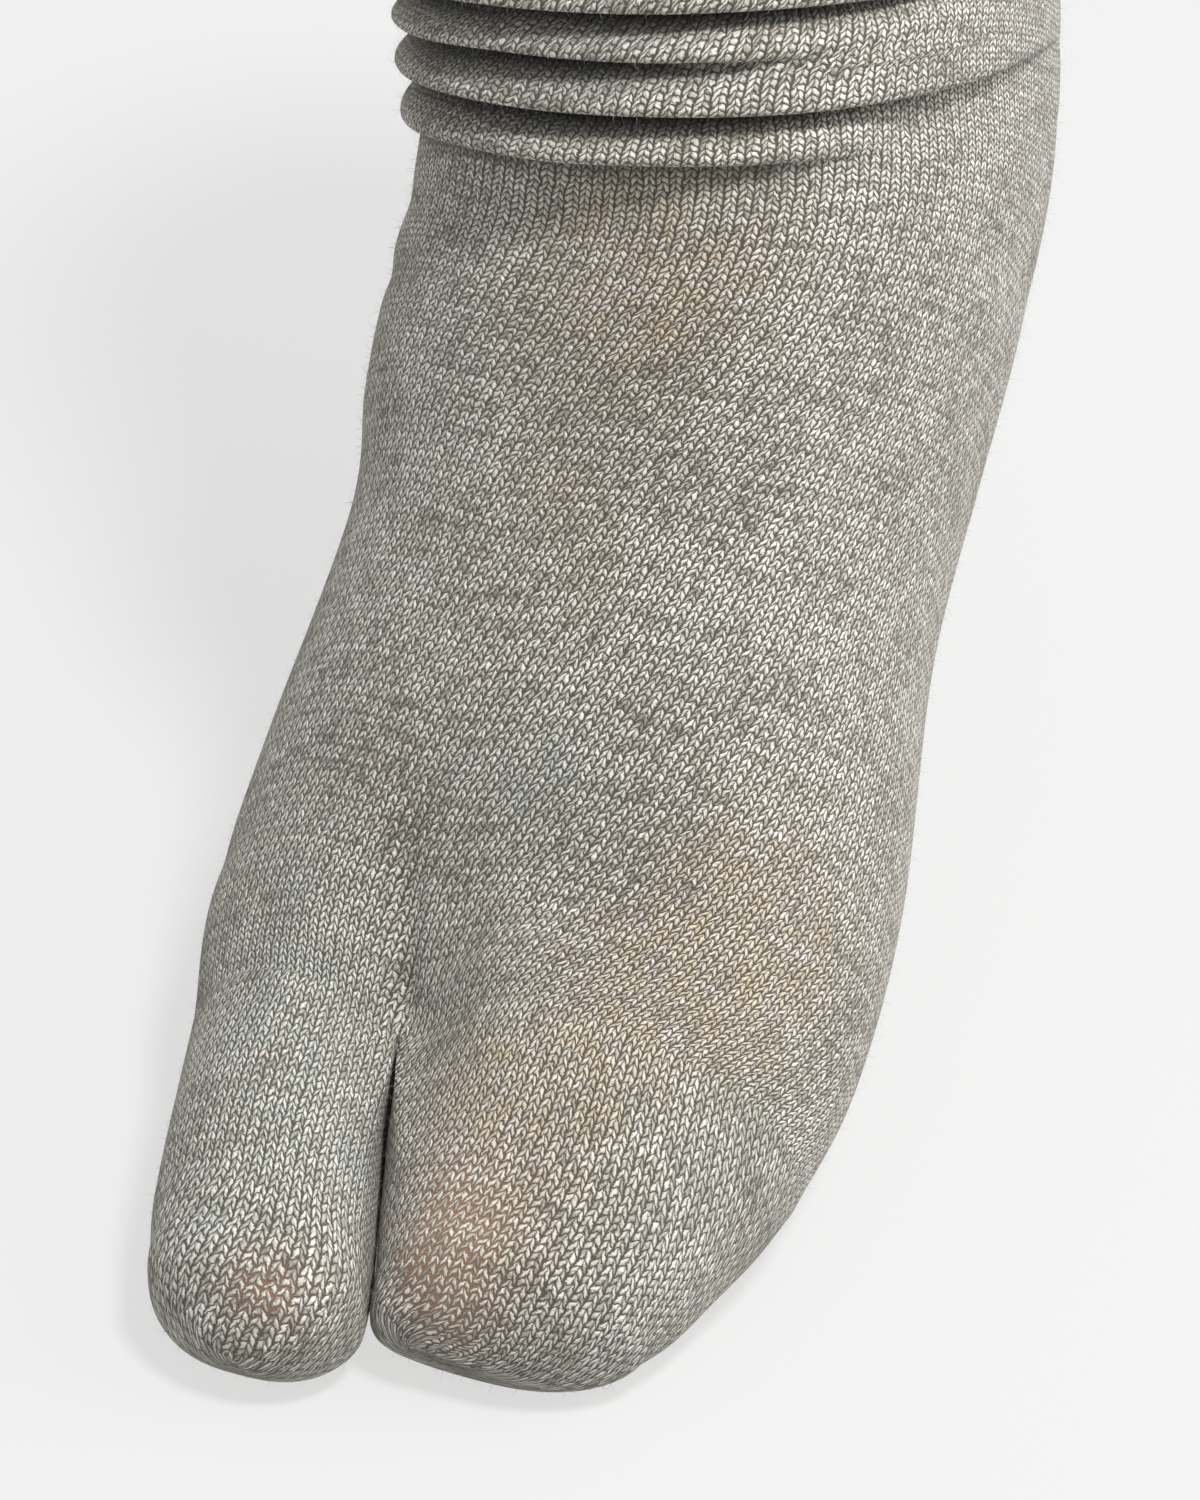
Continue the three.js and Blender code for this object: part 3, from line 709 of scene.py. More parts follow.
def sheet_mesh():
    """Vertices, faces and knit map of the whole sheet, from the cuff's seam to both tips."""
    points = [tube.reshape(-1, 3), crotch]
    faces, uvs = tube_faces()
    last, used = (len(tube) - 1) * WALES, len(tube) * WALES + len(crotch)
    crotch_ids = used - len(crotch) + np.arange(len(crotch))
    first_ids = {
        "big_toe": np.concatenate([last + np.arange(MEDIAL_WALES + 1), crotch_ids]),
        "toes": np.concatenate([[last], last + np.arange(WALES - 1, MEDIAL_WALES - 1, -1), crotch_ids]),
    }
    tips = []
    for name, rings in pockets.items():
        own_faces, own_uvs, tip = pocket_faces(name, rings, first_ids[name], used)
        faces += own_faces
        uvs += own_uvs
        tips.append(tip)
        points += [rings[1:].reshape(-1, 3), rings[-1].mean(axis=0)[None]]
        used += (len(rings) - 1) * rings.shape[1] + 1
    return np.vstack(points), np.vstack(faces), np.vstack(uvs), tips


points, quads, quad_uvs, tips = sheet_mesh()

# %% [markdown]
# ## Creases and pulls
#
# Worn jersey is never quite smooth. It pulls in small ridges away from the crotch, where two toes
# tug on it, and it buckles softly at the ankle, behind the heel and under the arch. Each crease is
# one line of a chart: where it runs, how wide it is and how deep. A negative depth is a ridge. The
# points near a line move in or out along the cloth's own normal.

# %% The chart of the creases
CREASE_COLUMNS = "fromPlace fromColumn toPlace toColumn width depth"
CREASES = chart(CREASE_COLUMNS, [
    (8.7, 2, 10.02, 0, 2.3, 2.4), (9.5, 1, 10.05, 0, 1.4, 1.6),
    (9.92, -4, 9.15, -15, 2.5, -.75), (9.8, -9, 8.95, -27, 2.2, -.5), (9.55, -5, 8.6, -20, 2.4, .45),
    (9.95, 4, 9.25, 13, 2.4, -.55), (9.7, 10, 9.0, 21, 2.6, .4),
    (4.35, 20, 4.95, 42, 3.0, .8), (4.9, 15, 5.35, 35, 2.5, .55), (4.2, 34, 4.5, 54, 3.2, .9),
    (4.3, -34, 4.8, -58, 3.1, .8), (4.75, -30, 5.4, -52, 2.6, .6), (4.3, 6, 4.5, -14, 3.6, .45),
    (4.2, 68, 4.35, 96, 3.0, .9), (4.6, 60, 4.75, 84, 3.3, .7), (5.1, 74, 5.2, 98, 2.8, .55),
    (6.6, 49, 7.4, 44, 4.0, .9), (7.0, 57, 7.9, 50, 3.5, .7), (7.6, 40, 8.3, 46, 3.0, .5),
    (7.2, 92, 8.0, 100, 4.2, .6), (6.3, 104, 6.9, 96, 3.4, .5),
    (8.5, 20, 8.85, 31, 3.4, .45), (8.9, -36, 9.35, -46, 3.0, .5), (5.9, 24, 6.5, 33, 3.2, .4),
    (5.6, -22, 6.3, -33, 3.6, .35), (7.1, 12, 7.7, 3, 4.0, .3),
])
CREASE_STEPS = 24         # points along each crease
CREASE_ENDS = 0.25        # share of its depth that a crease still has at its two ends
CREASE_SWELL = 0.7        # below 1, a crease reaches its full depth sooner

# %% Pressing the creases in
def on_tube(place, column):
    """The point of the tube at a place of its chart and a column."""
    ring = np.interp(place, tube_places, np.arange(len(tube)))
    i, j = min(int(ring), len(tube) - 2), int(np.floor(column))
    near, far = tube[i] * (1 + i - ring) + tube[i + 1] * (ring - i), column - j
    return near[j % WALES] * (1 - far) + near[(j + 1) % WALES] * far


def sheet_normals(vertices):
    """The outward normal at each point of the sheet."""
    normals = np.zeros_like(vertices)
    a, b, c, d = (vertices[quads[:, k]] for k in range(4))
    across = np.cross(c - a, d - b)
    for k in range(4):
        np.add.at(normals, quads[:, k], across)
    for tri, _ in tips:
        a, b, c = (vertices[tri[:, k]] for k in range(3))
        across = np.cross(b - a, c - a)
        for k in range(3):
            np.add.at(normals, tri[:, k], across)
    return normals / np.maximum(np.linalg.norm(normals, axis=1, keepdims=True), 1e-9)


def creased(vertices):
    """The sheet with every crease of the chart pressed in and every ridge raised."""
    normals = sheet_normals(vertices)
    inward = np.zeros(len(vertices))
    share = np.linspace(0, 1, CREASE_STEPS)
    swell = CREASE_ENDS + (1 - CREASE_ENDS) * np.sin(np.pi * share) ** CREASE_SWELL
    for values in CREASES[1]:
        row = dict(zip(CREASES[0], values))
        places = row["fromPlace"] + (row["toPlace"] - row["fromPlace"]) * share
        columns = row["fromColumn"] + (row["toColumn"] - row["fromColumn"]) * share
        line = np.array([on_tube(place, column) for place, column in zip(places, columns)])
        away = np.linalg.norm(vertices[:, None] - line[None], axis=2)
        nearness = np.exp(-((away.min(axis=1) / row["width"]) ** 2))
        inward += row["depth"] * swell[away.argmin(axis=1)] * nearness
    moved = vertices - normals * inward[:, None]
    moved[:, 2] = np.maximum(moved[:, 2], 0)
    return moved


points = creased(points)
print("creases and ridges:", len(CREASES[1]))

# %% The sheet as an object
def mesh_object(name, vertices, quad_list, uv_list, tip_list=()):
    """A mesh object in the frame from millimetres above the floor, with its knit map."""
    faces = quad_list.tolist()
    corners = [uv_list.reshape(-1, 2)]
    for tri, corner in tip_list:
        faces += tri.tolist()
        corners.append(corner.reshape(-1, 2))
    made = bpy.data.meshes.new(name)
    made.from_pydata(((vertices - ANKLE) * MM).tolist(), [], faces)
    layer = made.uv_layers.new(name="knit")
    layer.data.foreach_set("uv", np.vstack(corners).astype(np.float32).ravel())
    made.shade_smooth()
    made.update()
    thing = bpy.data.objects.new(name, made)
    bpy.context.collection.objects.link(thing)
    return thing


sock = mesh_object("sock_sheet", points, quads, quad_uvs, tips)
print("sheet:", len(points), "points,", len(sock.data.polygons), "faces")

# %% [markdown]
# ## The jersey
#
# Plain knitting shows a small arrow for each stitch: two slim strands that meet at a point. The
# material folds each column about its middle, slants the courses by the same amount on both sides,
# and gets the two strands from one formula. Their height drives the bump, the deep places between
# them get a painted shade, and the yarn's own colour comes from noise stretched along the courses,
# because melange yarn changes colour slowly as it is knitted in. Deep in the folds of the rolls the
# colour is darkened by a painted shade as well.

# %% Helpers for nodes
def plug(tree, value, socket):
    """Link a socket to another node's output, or set its own value."""
    if isinstance(value, bpy.types.NodeSocket):
        tree.links.new(value, socket)
    else:
        socket.default_value = value


def node(tree, kind, settings=None, **inputs):
    """A node with its settings. Inputs go by name, with _ for a space, or by i and a number."""
    made = tree.nodes.new(kind)
    for key, value in (settings or {}).items():
        setattr(made, key, value)
    for key, value in inputs.items():
        numbered = key[0] == "i" and key[1:].isdigit()
        plug(tree, value, made.inputs[int(key[1:]) if numbered else key.replace("_", " ")])
    return made


def math_node(tree, operation, *values):
    """The result of one step of arithmetic on sockets and numbers."""
    inputs = {f"i{k}": value for k, value in enumerate(values)}
    return node(tree, "ShaderNodeMath", {"operation": operation}, **inputs).outputs[0]


class Shading:
    """A short way to write a material's nodes as arithmetic."""

    def __init__(self, name):
        self.material = bpy.data.materials.new(name)
        self.material.use_nodes = True
        self.tree = self.material.node_tree

    def finish(self, **inputs):
        """Set or link inputs of the shader itself, by name."""
        for key, value in inputs.items():
            plug(self.tree, value, self.tree.nodes["Principled BSDF"].inputs[key.replace("_", " ")])
        return self.material

    def math(self, operation, *values):
        return math_node(self.tree, operation, *values)

    def minus(self, first, second):
        return self.math("SUBTRACT", first, second)

    def times(self, first, second):
        return self.math("MULTIPLY", first, second)

    def plus(self, first, *others):
        for other in others:
            first = self.math("ADD", first, other)
        return first

    def swing(self, value, amount):
        """A value from 0 to 1 as one that swings about 0."""
        return self.times(self.minus(value, 0.5), amount)

    def mix(self, share, first, second, kind="MIX"):
        first, second = (c if isinstance(c, bpy.types.NodeSocket) else (*c, 1) for c in (first, second))
        return node(self.tree, "ShaderNodeMix", {"data_type": "RGBA", "blend_type": kind},
                    Factor=share, i6=first, i7=second).outputs[2]

    def span(self, value, low, high, way="LINEAR"):
        """0 where the value is low, 1 where it is high."""
        return node(self.tree, "ShaderNodeMapRange", {"interpolation_type": way},
                    i0=value, i1=low, i2=high, i3=0.0, i4=1.0).outputs[0]

    def vector(self, x, y, z=0.0):
        return node(self.tree, "ShaderNodeCombineXYZ", i0=x, i1=y, i2=z).outputs[0]

    def noise(self, vector, scale, detail, rough):
        return node(self.tree, "ShaderNodeTexNoise", Vector=vector, Scale=scale, Detail=detail,
                    Roughness=rough).outputs["Fac"]

    def stir(self, vector, name):
        """A noise of the chart, swinging as far as the chart says."""
        scale, detail, rough, amount = NOISES[name]
        return self.swing(self.noise(vector, scale, detail, rough), amount)

    def white(self, vector):
        return node(self.tree, "ShaderNodeTexWhiteNoise", Vector=vector).outputs["Value"]

    def attribute(self, name):
        return node(self.tree, "ShaderNodeAttribute", {"attribute_name": name}).outputs["Fac"]

    def knit_map(self):
        knit = node(self.tree, "ShaderNodeUVMap", {"uv_map": "knit"}).outputs[0]
        return node(self.tree, "ShaderNodeSeparateXYZ", i0=knit).outputs[:2]

    def place(self):
        return self.tree.nodes.new("ShaderNodeTexCoord").outputs["Object"]


# %% The jersey's colours and measures
YARN = (0.60, 0.566, 0.495)
YARN_DARK = (0.26, 0.24, 0.205)
YARN_LIGHT = (0.79, 0.762, 0.705)
FLECK = 0.62              # how far the fleck swings before the yarn is wholly dark or wholly light
# Painted shade between the strands.
GAP_SHADE = (0.090, 0.079, 0.063)
WARM, WARM_SHARE = (0.60, 0.50, 0.355), 0.95
COOL, COOL_SHARE = (0.47, 0.52, 0.47), 0.85
OPEN_GAP = (0.25, 0.155, 0.10)
# Painted shade in the folds of the rolls: its colour, its strongest share and its growth with depth.
FOLD_SHADE_TONE, FOLD_SHADE_SHARE, FOLD_SHADE_POWER = (0.035, 0.032, 0.024), 0.94, 1.1
STITCH_SLANT = 1.7        # courses that a strand climbs over the width of a column
STRAND_MIDDLE = 0.225     # from a column's middle to the middle of a strand, in columns
STRAND_REACH = 0.235      # from there to the strand's edge
STRAND_HALF = 0.44        # about half of a strand's height, in courses
BETWEEN_COURSES = 0.85    # how deep the strands part from one course to the next, against the columns
OPEN_NARROWS = 0.22       # how much slimmer the strands are where the knitting is pulled open
STRAND_ROUND = 0.75       # below 1, a strand is flatter on top
SHOWS = (0.05, 0.75)      # the heights at which a strand starts to show and shows wholly
STITCH_BUMP = 0.00036     # height of the strands in the bump, in metres
FIBRE_BUMP = 0.18         # and the fibres' height as a share of it
FIBRE_SHADE = 0.45        # how much darker and lighter the twisted fibres make a strand
MELANGE = (0.11, 0.85)    # how far the streaks' noise moves on for each column and each course
TWIST = (9.0, 2.4)        # the same for the fibres in a strand
BROKEN = (0.32, 0.68)     # between these values of a noise the warm and cool patches break up

# Each noise: its scale, detail, roughness and how far it swings.
NOISES = {
    "across": (620.0, 3.0, 0.65, 0.75),
    "along": (710.0, 3.0, 0.65, 1.0),
    "streak": (1.0, 3.0, 0.65, 2.1),
    "cloud": (55.0, 3.0, 0.6, 1.1),
    "grain": (900.0, 2.0, 0.7, 1.3),
}
STRAND_SWING = 0.85       # how far the strands differ from each other


# %% The jersey's material
def stitch(n, column, course, opened):
    """The height of the strands, from 0 in the gaps to 1, a random number for each strand, and the
    courses as the slanted strands count them."""
    across = n.minus(n.math("FRACT", column), 0.5)
    off = n.math("ABSOLUTE", across)
    slanted = n.minus(course, n.times(off, STITCH_SLANT))
    slim = n.minus(1.0, n.times(opened, OPEN_NARROWS))
    p = n.math("DIVIDE", n.minus(n.math("FRACT", slanted), 0.5), n.times(slim, STRAND_HALF))
    a = n.math("DIVIDE", n.minus(off, STRAND_MIDDLE), STRAND_REACH)
    round_p = n.minus(1.0, n.times(n.times(p, p), BETWEEN_COURSES))
    round_a = n.minus(1.0, n.times(a, a))
    both = n.times(n.math("MAXIMUM", round_p, 0.0), n.math("MAXIMUM", round_a, 0.0))
    which = n.vector(n.math("FLOOR", column), n.math("FLOOR", slanted), n.math("SIGN", across))
    return n.math("POWER", both, STRAND_ROUND), n.white(which), slanted


def heather_yarn(n, column, course, strand):
    """The colour of the yarn, light and dark in flecks, with the cloth's warm and cool patches."""
    place = n.place()
    along_yarn = n.vector(n.times(column, MELANGE[0]), n.times(course, MELANGE[1]))
    fleck = n.plus(n.stir(along_yarn, "streak"), n.stir(place, "cloud"),
                   n.swing(strand, STRAND_SWING), n.stir(place, "grain"))
    yarn = n.mix(n.span(fleck, -FLECK, 0.0), YARN_DARK, YARN)
    yarn = n.mix(n.span(fleck, 0.0, FLECK), yarn, YARN_LIGHT)
    broken = n.span(n.noise(place, 210.0, 4.0, 0.7), *BROKEN)
    for patch, tint, share in (("warm", WARM, WARM_SHARE), ("cool", COOL, COOL_SHARE)):
        yarn = n.mix(n.times(n.times(n.attribute(patch), broken), share), yarn, tint)
    return yarn


def jersey_material(name):
    n = Shading(name)
    column, course = n.knit_map()
    # Stitches aren't set out by a ruler: a noise as fine as they are moves them a little.
    column = n.plus(column, n.stir(n.place(), "across"))
    course = n.plus(course, n.stir(n.place(), "along"))
    opened = n.attribute("open")
    height, strand, slanted = stitch(n, column, course, opened)

    fibre = n.noise(n.vector(n.times(column, TWIST[0]), n.times(slanted, TWIST[1])), 1.0, 2.0, 0.6)
    shade = n.mix(fibre, (1 - FIBRE_SHADE,) * 3, (1 + FIBRE_SHADE,) * 3)
    yarn = n.mix(1.0, heather_yarn(n, column, course, strand), shade, "MULTIPLY")
    show = n.span(height, *SHOWS, "SMOOTHSTEP")
    # Between the strands the colour is a painted shade, warmer where the knitting is pulled open.
    colour = n.mix(show, n.mix(opened, GAP_SHADE, OPEN_GAP), yarn)
    # Deep in the folds of the rolls the colour is darkened towards a painted shade.
    fold_shade_mask = n.times(n.math("POWER", n.attribute("fold_shade"), FOLD_SHADE_POWER), FOLD_SHADE_SHARE)

    relief = n.plus(height, n.times(fibre, FIBRE_BUMP))
    bump = node(n.tree, "ShaderNodeBump", Distance=STITCH_BUMP, Strength=1.0, Height=relief)
    return n.finish(
        Base_Color=n.mix(fold_shade_mask, colour, FOLD_SHADE_TONE), Normal=bump.outputs[0], Roughness=0.95,
        Specular_IOR_Level=0.12, Sheen_Weight=0.22, Sheen_Roughness=0.45,
        Sheen_Tint=(0.95, 0.97, 1.0, 1))


jersey = jersey_material("heather_jersey")
sock.data.materials.append(jersey)

# %% [markdown]
# ## Patches in the cloth
#
# The photographed cloth isn't one even grey. It is a little beige on the instep and over the smaller
# toes, greenish over the big toe, and thin and stretched at the two toe ends, where a warm tone
# shows between the stitches. Each patch is one line of a chart: where its middle is seen in the
# picture, how far it reaches over the cloth and how strong it is. The script finds the point of the
# sheet that the camera sees there, and measures from it in space, so a patch wraps round the form.

# %% The chart of the patches
PICTURE = np.array([1200, 1500])
PATCH_COLUMNS = "pictureX pictureY reach amount"
PATCHES = {
    "warm": chart(PATCH_COLUMNS, [
        (600, 230, 11, .8), (705, 255, 12, .8), (590, 320, 10, .6), (655, 345, 9, .5), (560, 480, 6, .7),
        (590, 565, 7, .5), (760, 880, 12, .7), (700, 960, 13, .7), (800, 960, 10, .6), (620, 1020, 13, .7),
        (740, 1040, 11, .6), (520, 1060, 10, .7), (560, 1130, 12, .7), (470, 1110, 8, .8),
        (500, 1240, 9, .5)]),
    "cool": chart(PATCH_COLUMNS, [
        (290, 1000, 13, .9), (270, 1120, 14, .9), (310, 900, 9, .7), (360, 1160, 7, .6), (220, 1220, 9, .6),
        (180, 1310, 8, .4), (500, 770, 10, .6), (570, 790, 9, .6), (420, 425, 5, .5), (700, 1160, 9, .6),
        (640, 1270, 8, .5), (760, 1110, 8, .4), (690, 650, 7, .4), (560, 100, 12, .4)]),
    "open": chart(PATCH_COLUMNS, [
        (445, 1175, 7, .5), (450, 1240, 7, .8), (450, 1300, 7, .8), (490, 1210, 7, .4), (250, 1288, 5, .7),
        (282, 1300, 4, .5), (410, 1260, 5, .3)]),
}
FACING = 0.15             # the least turn towards the camera that a point needs to be seen
SHOWN = 0.2               # a point with more than this of a patch is counted as in it

# %% Finding each patch on the sheet
def in_picture(places):
    """Where the camera sees points of the frame, in the picture's pixels."""
    toward = np.array((aim - camera.location).normalized())
    side = unit(np.cross(toward, [0, 0, 1.0]))
    above = np.cross(side, toward)
    off = places - np.array(camera.location)
    scale = LENS / camera.data.sensor_width * PICTURE.max() / (off @ toward)
    return np.stack([PICTURE[0] / 2 + off @ side * scale, PICTURE[1] / 2 - off @ above * scale], 1)


def patch_amounts(rows, vertices, normals):
    """How much of one kind of patch each point of the sheet has, from 0 to 1."""
    places = (vertices - ANKLE) * MM
    seen = in_picture(places)
    to_camera = unit(np.array(camera.location) - places)
    hidden = np.where((normals * to_camera).sum(axis=1) > FACING, 0, 1e6)
    total = np.zeros(len(vertices))
    for x, y, reach, amount in rows:
        middle = vertices[(np.linalg.norm(seen - [x, y], axis=1) + hidden).argmin()]
        total += amount * np.exp(-((np.linalg.norm(vertices - middle, axis=1) / reach) ** 2))
    return np.clip(total, 0, 1)


normals = sheet_normals(points)
# How much painted shade of the folds each point gets; the other kinds are the cloth's own patches.
fold_shade_mask = np.zeros((len(tube), WALES))
fold_shade_mask[ANKLE_RING - len(fold_shade_shares):ANKLE_RING] = fold_shade_shares[::-1]
fold_shade_mask = np.concatenate([fold_shade_mask.ravel(), np.zeros(len(points) - fold_shade_mask.size)])
amounts = {"fold_shade": fold_shade_mask}
for patch, (columns, rows) in PATCHES.items():
    amounts[patch] = patch_amounts(rows, points, normals)
for name, values in amounts.items():
    layer = sock.data.attributes.new(name, "FLOAT", "POINT")
    layer.data.foreach_set("value", values.astype(np.float32))
    print("%s: %.0f percent of the points" % (name, 100 * (values > SHOWN).mean()))

# %% [markdown]
# ## The ribbed cuff
#
# A sock's welt is knitted in ribs, so that it grips the leg. Every rib has the same form and there
# are many of them, which is work for Geometry Nodes: the tree takes the smooth welt, divides it
# finely, and moves each point out by a wave that counts the ribs round the leg. The ribs die out
# at the seam with the leg and at the turned edge. Their number and height are inputs of the tree.

# %% Building node trees
def new_tree(name, inputs):
    """A geometry tree with its named inputs, its group input node and its output node."""
    tree = bpy.data.node_groups.new(name, "GeometryNodeTree")
    tree.interface.new_socket("Geometry", in_out="INPUT", socket_type="NodeSocketGeometry")
    for title, kind in inputs:
        tree.interface.new_socket(title, in_out="INPUT", socket_type=kind)
    tree.interface.new_socket("Geometry", in_out="OUTPUT", socket_type="NodeSocketGeometry")
    return tree, tree.nodes.new("NodeGroupInput"), tree.nodes.new("NodeGroupOutput")


def grown(name, base, tree, values):
    """The base mesh after the tree, as a plain mesh object of its own."""
    modifier = base.modifiers.new("tree", "NODES")
    modifier.node_group = tree
    for item in tree.interface.items_tree:
        if item.in_out == "INPUT" and item.name in values:
            modifier[item.identifier] = values[item.name]
    base.update_tag()
    ready = base.evaluated_get(bpy.context.evaluated_depsgraph_get())
    made = bpy.data.meshes.new_from_object(ready)
    base.modifiers.remove(modifier)
    thing = bpy.data.objects.new(name, made)
    bpy.context.collection.objects.link(thing)
    return thing


# %% The welt and its ribs
WELT_ROWS = 12
WELT_EDGE = 1.2           # how far the turned edge rolls in
EDGE_RISE = 0.4           # how far it rises on the way
EDGE_DROP = 0.6           # and how far below the top it ends
RIBS = 41
RIB_HEIGHT = 0.9
RIB_FADE = 0.14           # share of the welt over which the ribs die out at the seam and the edge


def welt_mesh():
    """The smooth welt from the seam up, its edge turned in, with a knit map and how ribbed it is."""
    seam, hem = NAMES.index("cuffSeam"), NAMES.index("hem")
    rings = [tube_ring(place) for place in np.linspace(seam, hem, WELT_ROWS + 1)]
    middle = rings[-1].mean(axis=0)
    inward = unit(middle - rings[-1]) * WELT_EDGE
    rings += [rings[-1] + inward * 0.5 + [0, 0, EDGE_RISE], rings[-1] + inward - [0, 0, EDGE_DROP]]
    rings = np.array(rings)
    a = np.arange(WALES)
    b = (a + 1) % WALES
    step = WALES * np.arange(len(rings) - 1)[:, None]
    faces = np.stack([a + step, b + step, b + step + WALES, a + step + WALES], 2)
    faces = faces.reshape(-1, 4)[:, ::-1]
    way = np.linalg.norm(np.diff(rings, axis=0), axis=2).mean(axis=1)
    course = np.concatenate([[0], np.cumsum(way)])
    u = np.broadcast_to(np.stack([a, a + 1, a + 1, a], 1)[None], (len(rings) - 1, WALES, 4))
    v = np.stack([course[:-1], course[:-1], course[1:], course[1:]], 1)[:, None]
    knit = np.stack([u, np.broadcast_to(v, u.shape)], 3).reshape(-1, 4, 2)[:, ::-1]
    rows = np.arange(len(rings))
    ribbed = np.clip(np.minimum(rows, WELT_ROWS - rows) / WELT_ROWS / RIB_FADE, 0, 1)
    return rings.reshape(-1, 3), faces, knit, np.repeat(ribbed, WALES)

# %% The tree that makes the ribs
def rib_tree():
    tree, given, out = new_tree("rib_knit_welt", [
        ("Ribs", "NodeSocketFloat"), ("Rib height", "NodeSocketFloat"), ("Cloth", "NodeSocketMaterial")])
    fine = node(tree, "GeometryNodeSubdivideMesh", Mesh=given.outputs["Geometry"], Level=2)
    turn = node(tree, "GeometryNodeInputNamedAttribute", {"data_type": "FLOAT_VECTOR"}, Name="around")
    split = node(tree, "ShaderNodeSeparateXYZ", Vector=turn.outputs[0])
    angle = math_node(tree, "ARCTAN2", split.outputs[0], split.outputs[1])
    wave = math_node(tree, "COSINE", math_node(tree, "MULTIPLY", angle, given.outputs["Ribs"]))
    lift = math_node(tree, "MULTIPLY", wave, split.outputs[2])
    lift = math_node(tree, "MULTIPLY", lift, given.outputs["Rib height"])
    normal = node(tree, "GeometryNodeInputNormal")
    move = node(tree, "ShaderNodeVectorMath", {"operation": "SCALE"}, Vector=normal.outputs[0], Scale=lift)
    moved = node(tree, "GeometryNodeSetPosition", Geometry=fine.outputs[0], Offset=move.outputs[0])
    real = node(tree, "GeometryNodeRealizeInstances", Geometry=moved.outputs[0])
    dressed = node(tree, "GeometryNodeSetMaterial", Geometry=real.outputs[0], Material=given.outputs["Cloth"])
    tree.links.new(dressed.outputs[0], out.inputs[0])
    return tree


welt_points, welt_quads, welt_knit, ribbed_share = welt_mesh()
welt = mesh_object("welt_base", welt_points, welt_quads, welt_knit)
turns = 2 * np.pi * np.tile(np.arange(WALES) / WALES, len(welt_points) // WALES)
around = welt.data.attributes.new("around", "FLOAT_VECTOR", "POINT")
vectors = np.stack([np.sin(turns), np.cos(turns), ribbed_share], 1).astype(np.float32)
around.data.foreach_set("vector", vectors.ravel())
rib_knit = jersey_material("rib_knit_welt")
cuff = grown("cuff_rib", welt, rib_tree(), {
    "Ribs": float(RIBS), "Rib height": RIB_HEIGHT * MM / 2, "Cloth": rib_knit})
cuff.data.shade_smooth()
bpy.data.objects.remove(welt)
print("the cuff has", RIBS, "ribs and", len(cuff.data.polygons), "faces")

# %% [markdown]
# ## Fuzz
#
# Short loose fibres stand off the yarn all over, and they soften every edge of the sock against a
# pale ground. One fibre is a thin bent thread that gets slimmer towards its tip. Geometry Nodes
# scatter thousands of them over the sheet by chance from a fixed seed, turn each one its own way and
# make it its own size.

# %% Scattering the fibres
FIBRES = 10600            # in each of the two pieces
FIBRE_LENGTH = 1.4        # millimetres
FIBRE_SIZES = (0.35, 1.3)     # the shortest and the longest, as shares of that
FIBRE_RADIUS = 0.024      # millimetres, at the root
FIBRE_BEND = ((0, 0, -0.1), (0.15, 0.1, 0.55), (0.75, 0.2, 0.7))  # its curve, for a length of 1
FIBRE_TAPER = 0.9         # how much of its thickness a fibre loses by its tip
FIBRE_LEAN = 0.7          # radians that a fibre may lean from the cloth's normal, each way
FIRST_SEED = 11


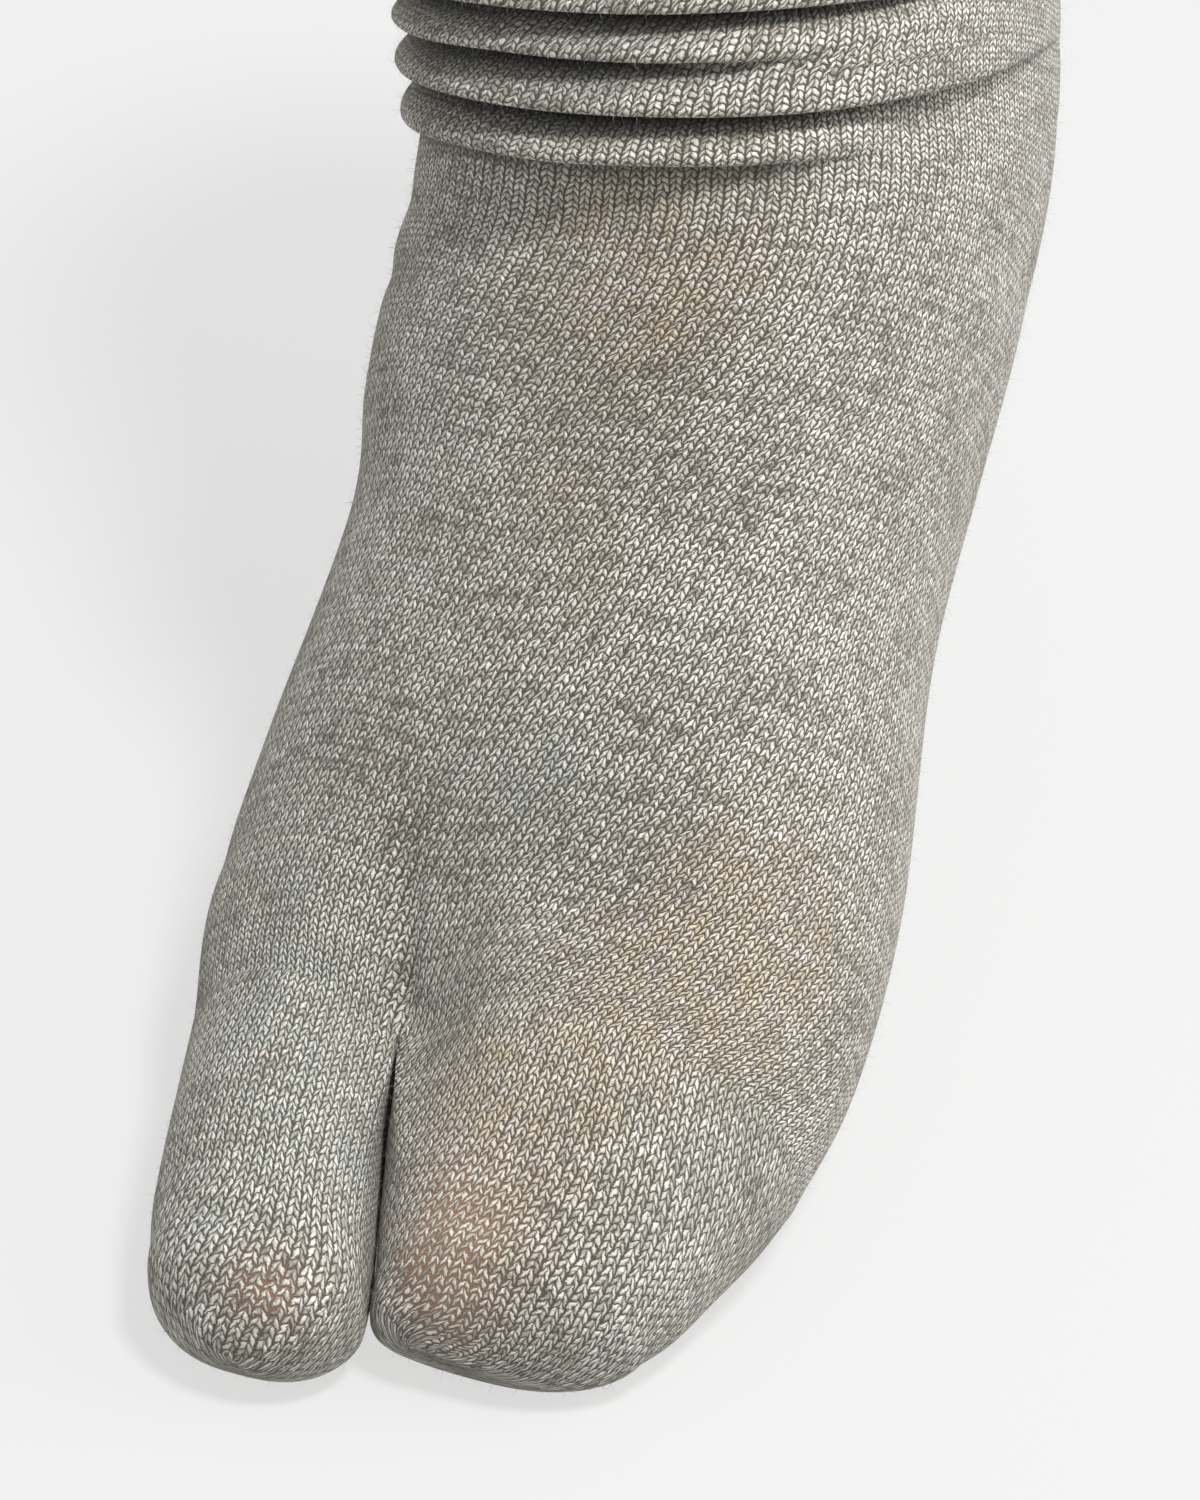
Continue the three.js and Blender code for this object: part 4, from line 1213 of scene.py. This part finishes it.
def fuzz_tree():
    tree, given, out = new_tree("fuzz", [
        ("Density", "NodeSocketFloat"), ("Length", "NodeSocketFloat"), ("Radius", "NodeSocketFloat"),
        ("Seed", "NodeSocketInt"), ("Fibre", "NodeSocketMaterial")])
    scatter = node(tree, "GeometryNodeDistributePointsOnFaces", Mesh=given.outputs["Geometry"],
                   Density=given.outputs["Density"], Seed=given.outputs["Seed"])
    bend = node(tree, "GeometryNodeCurveQuadraticBezier", Resolution=2, Start=FIBRE_BEND[0],
                Middle=FIBRE_BEND[1], End=FIBRE_BEND[2])
    along = node(tree, "GeometryNodeSplineParameter")
    lost = math_node(tree, "MULTIPLY", along.outputs["Factor"], FIBRE_TAPER)
    slim = math_node(tree, "SUBTRACT", 1.0, lost)
    thin = math_node(tree, "DIVIDE", given.outputs["Radius"], given.outputs["Length"])
    ring = node(tree, "GeometryNodeCurvePrimitiveCircle", Resolution=3, Radius=1.0)
    sides = [s for s in ring.outputs if s.enabled][0]
    fibre = node(tree, "GeometryNodeCurveToMesh", Curve=bend.outputs[0], Profile_Curve=sides,
                 Scale=math_node(tree, "MULTIPLY", slim, thin))
    spin = node(tree, "FunctionNodeRandomValue", {"data_type": "FLOAT_VECTOR"}, Seed=given.outputs["Seed"],
                i0=(-FIBRE_LEAN, -FIBRE_LEAN, 0), i1=(FIBRE_LEAN, FIBRE_LEAN, 2 * math.pi))
    turn = node(tree, "FunctionNodeRotateEuler", {"rotation_type": "EULER", "space": "LOCAL"},
                Rotation=scatter.outputs["Rotation"], Rotate_By=spin.outputs[0])
    sizes = node(tree, "FunctionNodeRandomValue", {"data_type": "FLOAT"}, Seed=given.outputs["Seed"],
                 i2=FIBRE_SIZES[0], i3=FIBRE_SIZES[1])
    scale = math_node(tree, "MULTIPLY", sizes.outputs[1], given.outputs["Length"])
    placed = node(tree, "GeometryNodeInstanceOnPoints", Points=scatter.outputs["Points"],
                  Instance=fibre.outputs[0], Rotation=turn.outputs[0], Scale=scale)
    real = node(tree, "GeometryNodeRealizeInstances", Geometry=placed.outputs[0])
    dressed = node(tree, "GeometryNodeSetMaterial", Geometry=real.outputs[0], Material=given.outputs["Fibre"])
    tree.links.new(dressed.outputs[0], out.inputs[0])
    return tree


def fibre_material():
    n = Shading("loose_fibre")
    yarn = n.mix(n.noise(n.place(), 300.0, 1.0, 0.5), YARN_DARK, YARN_LIGHT)
    return n.finish(Base_Color=yarn, Roughness=0.9, Specular_IOR_Level=0.2, Sheen_Weight=0.3)

# %% Growing the fuzz on the leg and on the foot
fuzz, loose_fibre = fuzz_tree(), fibre_material()
half = len(quads) // 2
fuzz_pieces = []
for part, (name, faces, own_tips) in enumerate((
        ("fuzz_leg", slice(0, half), ()), ("fuzz_foot", slice(half, None), tips))):
    ground = mesh_object("ground", points, quads[faces], quad_uvs[faces], own_tips)
    area = sum(face.area for face in ground.data.polygons)
    fuzz_pieces.append(grown(name, ground, fuzz, {
        "Density": FIBRES / area, "Length": FIBRE_LENGTH * MM, "Radius": FIBRE_RADIUS * MM,
        "Seed": FIRST_SEED + part, "Fibre": loose_fibre}))
    bpy.data.objects.remove(ground)
    print(name, len(fuzz_pieces[-1].data.polygons), "faces on", "%.4f square metres" % area)

# %% [markdown]
# ## The cloth's thickness
#
# Both pieces are sheets of cloth, so each one is given its thickness. A relaxed column of this
# jersey is about 1.45 mm wide, and the ribs pull the welt together more.

# %% The cloth's thickness
SHEET_WALL, CUFF_WALL = 0.9, 1.1


def give_thickness(piece, wall):
    thickness = piece.modifiers.new("cloth", "SOLIDIFY")
    thickness.thickness = wall * MM
    thickness.offset = -1


give_thickness(sock, SHEET_WALL)
give_thickness(cuff, CUFF_WALL)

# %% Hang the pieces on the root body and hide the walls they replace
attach(sock, "root")
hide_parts("leg", "heel", "foot", "big_toe", "toes")
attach(cuff, "root")
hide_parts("cuff")
for piece in fuzz_pieces:
    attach(piece, "root")

# %% Sizes and the end
size = {"cad": [list(corner) for corner in cad_box], "visual": [list(corner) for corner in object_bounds()]}
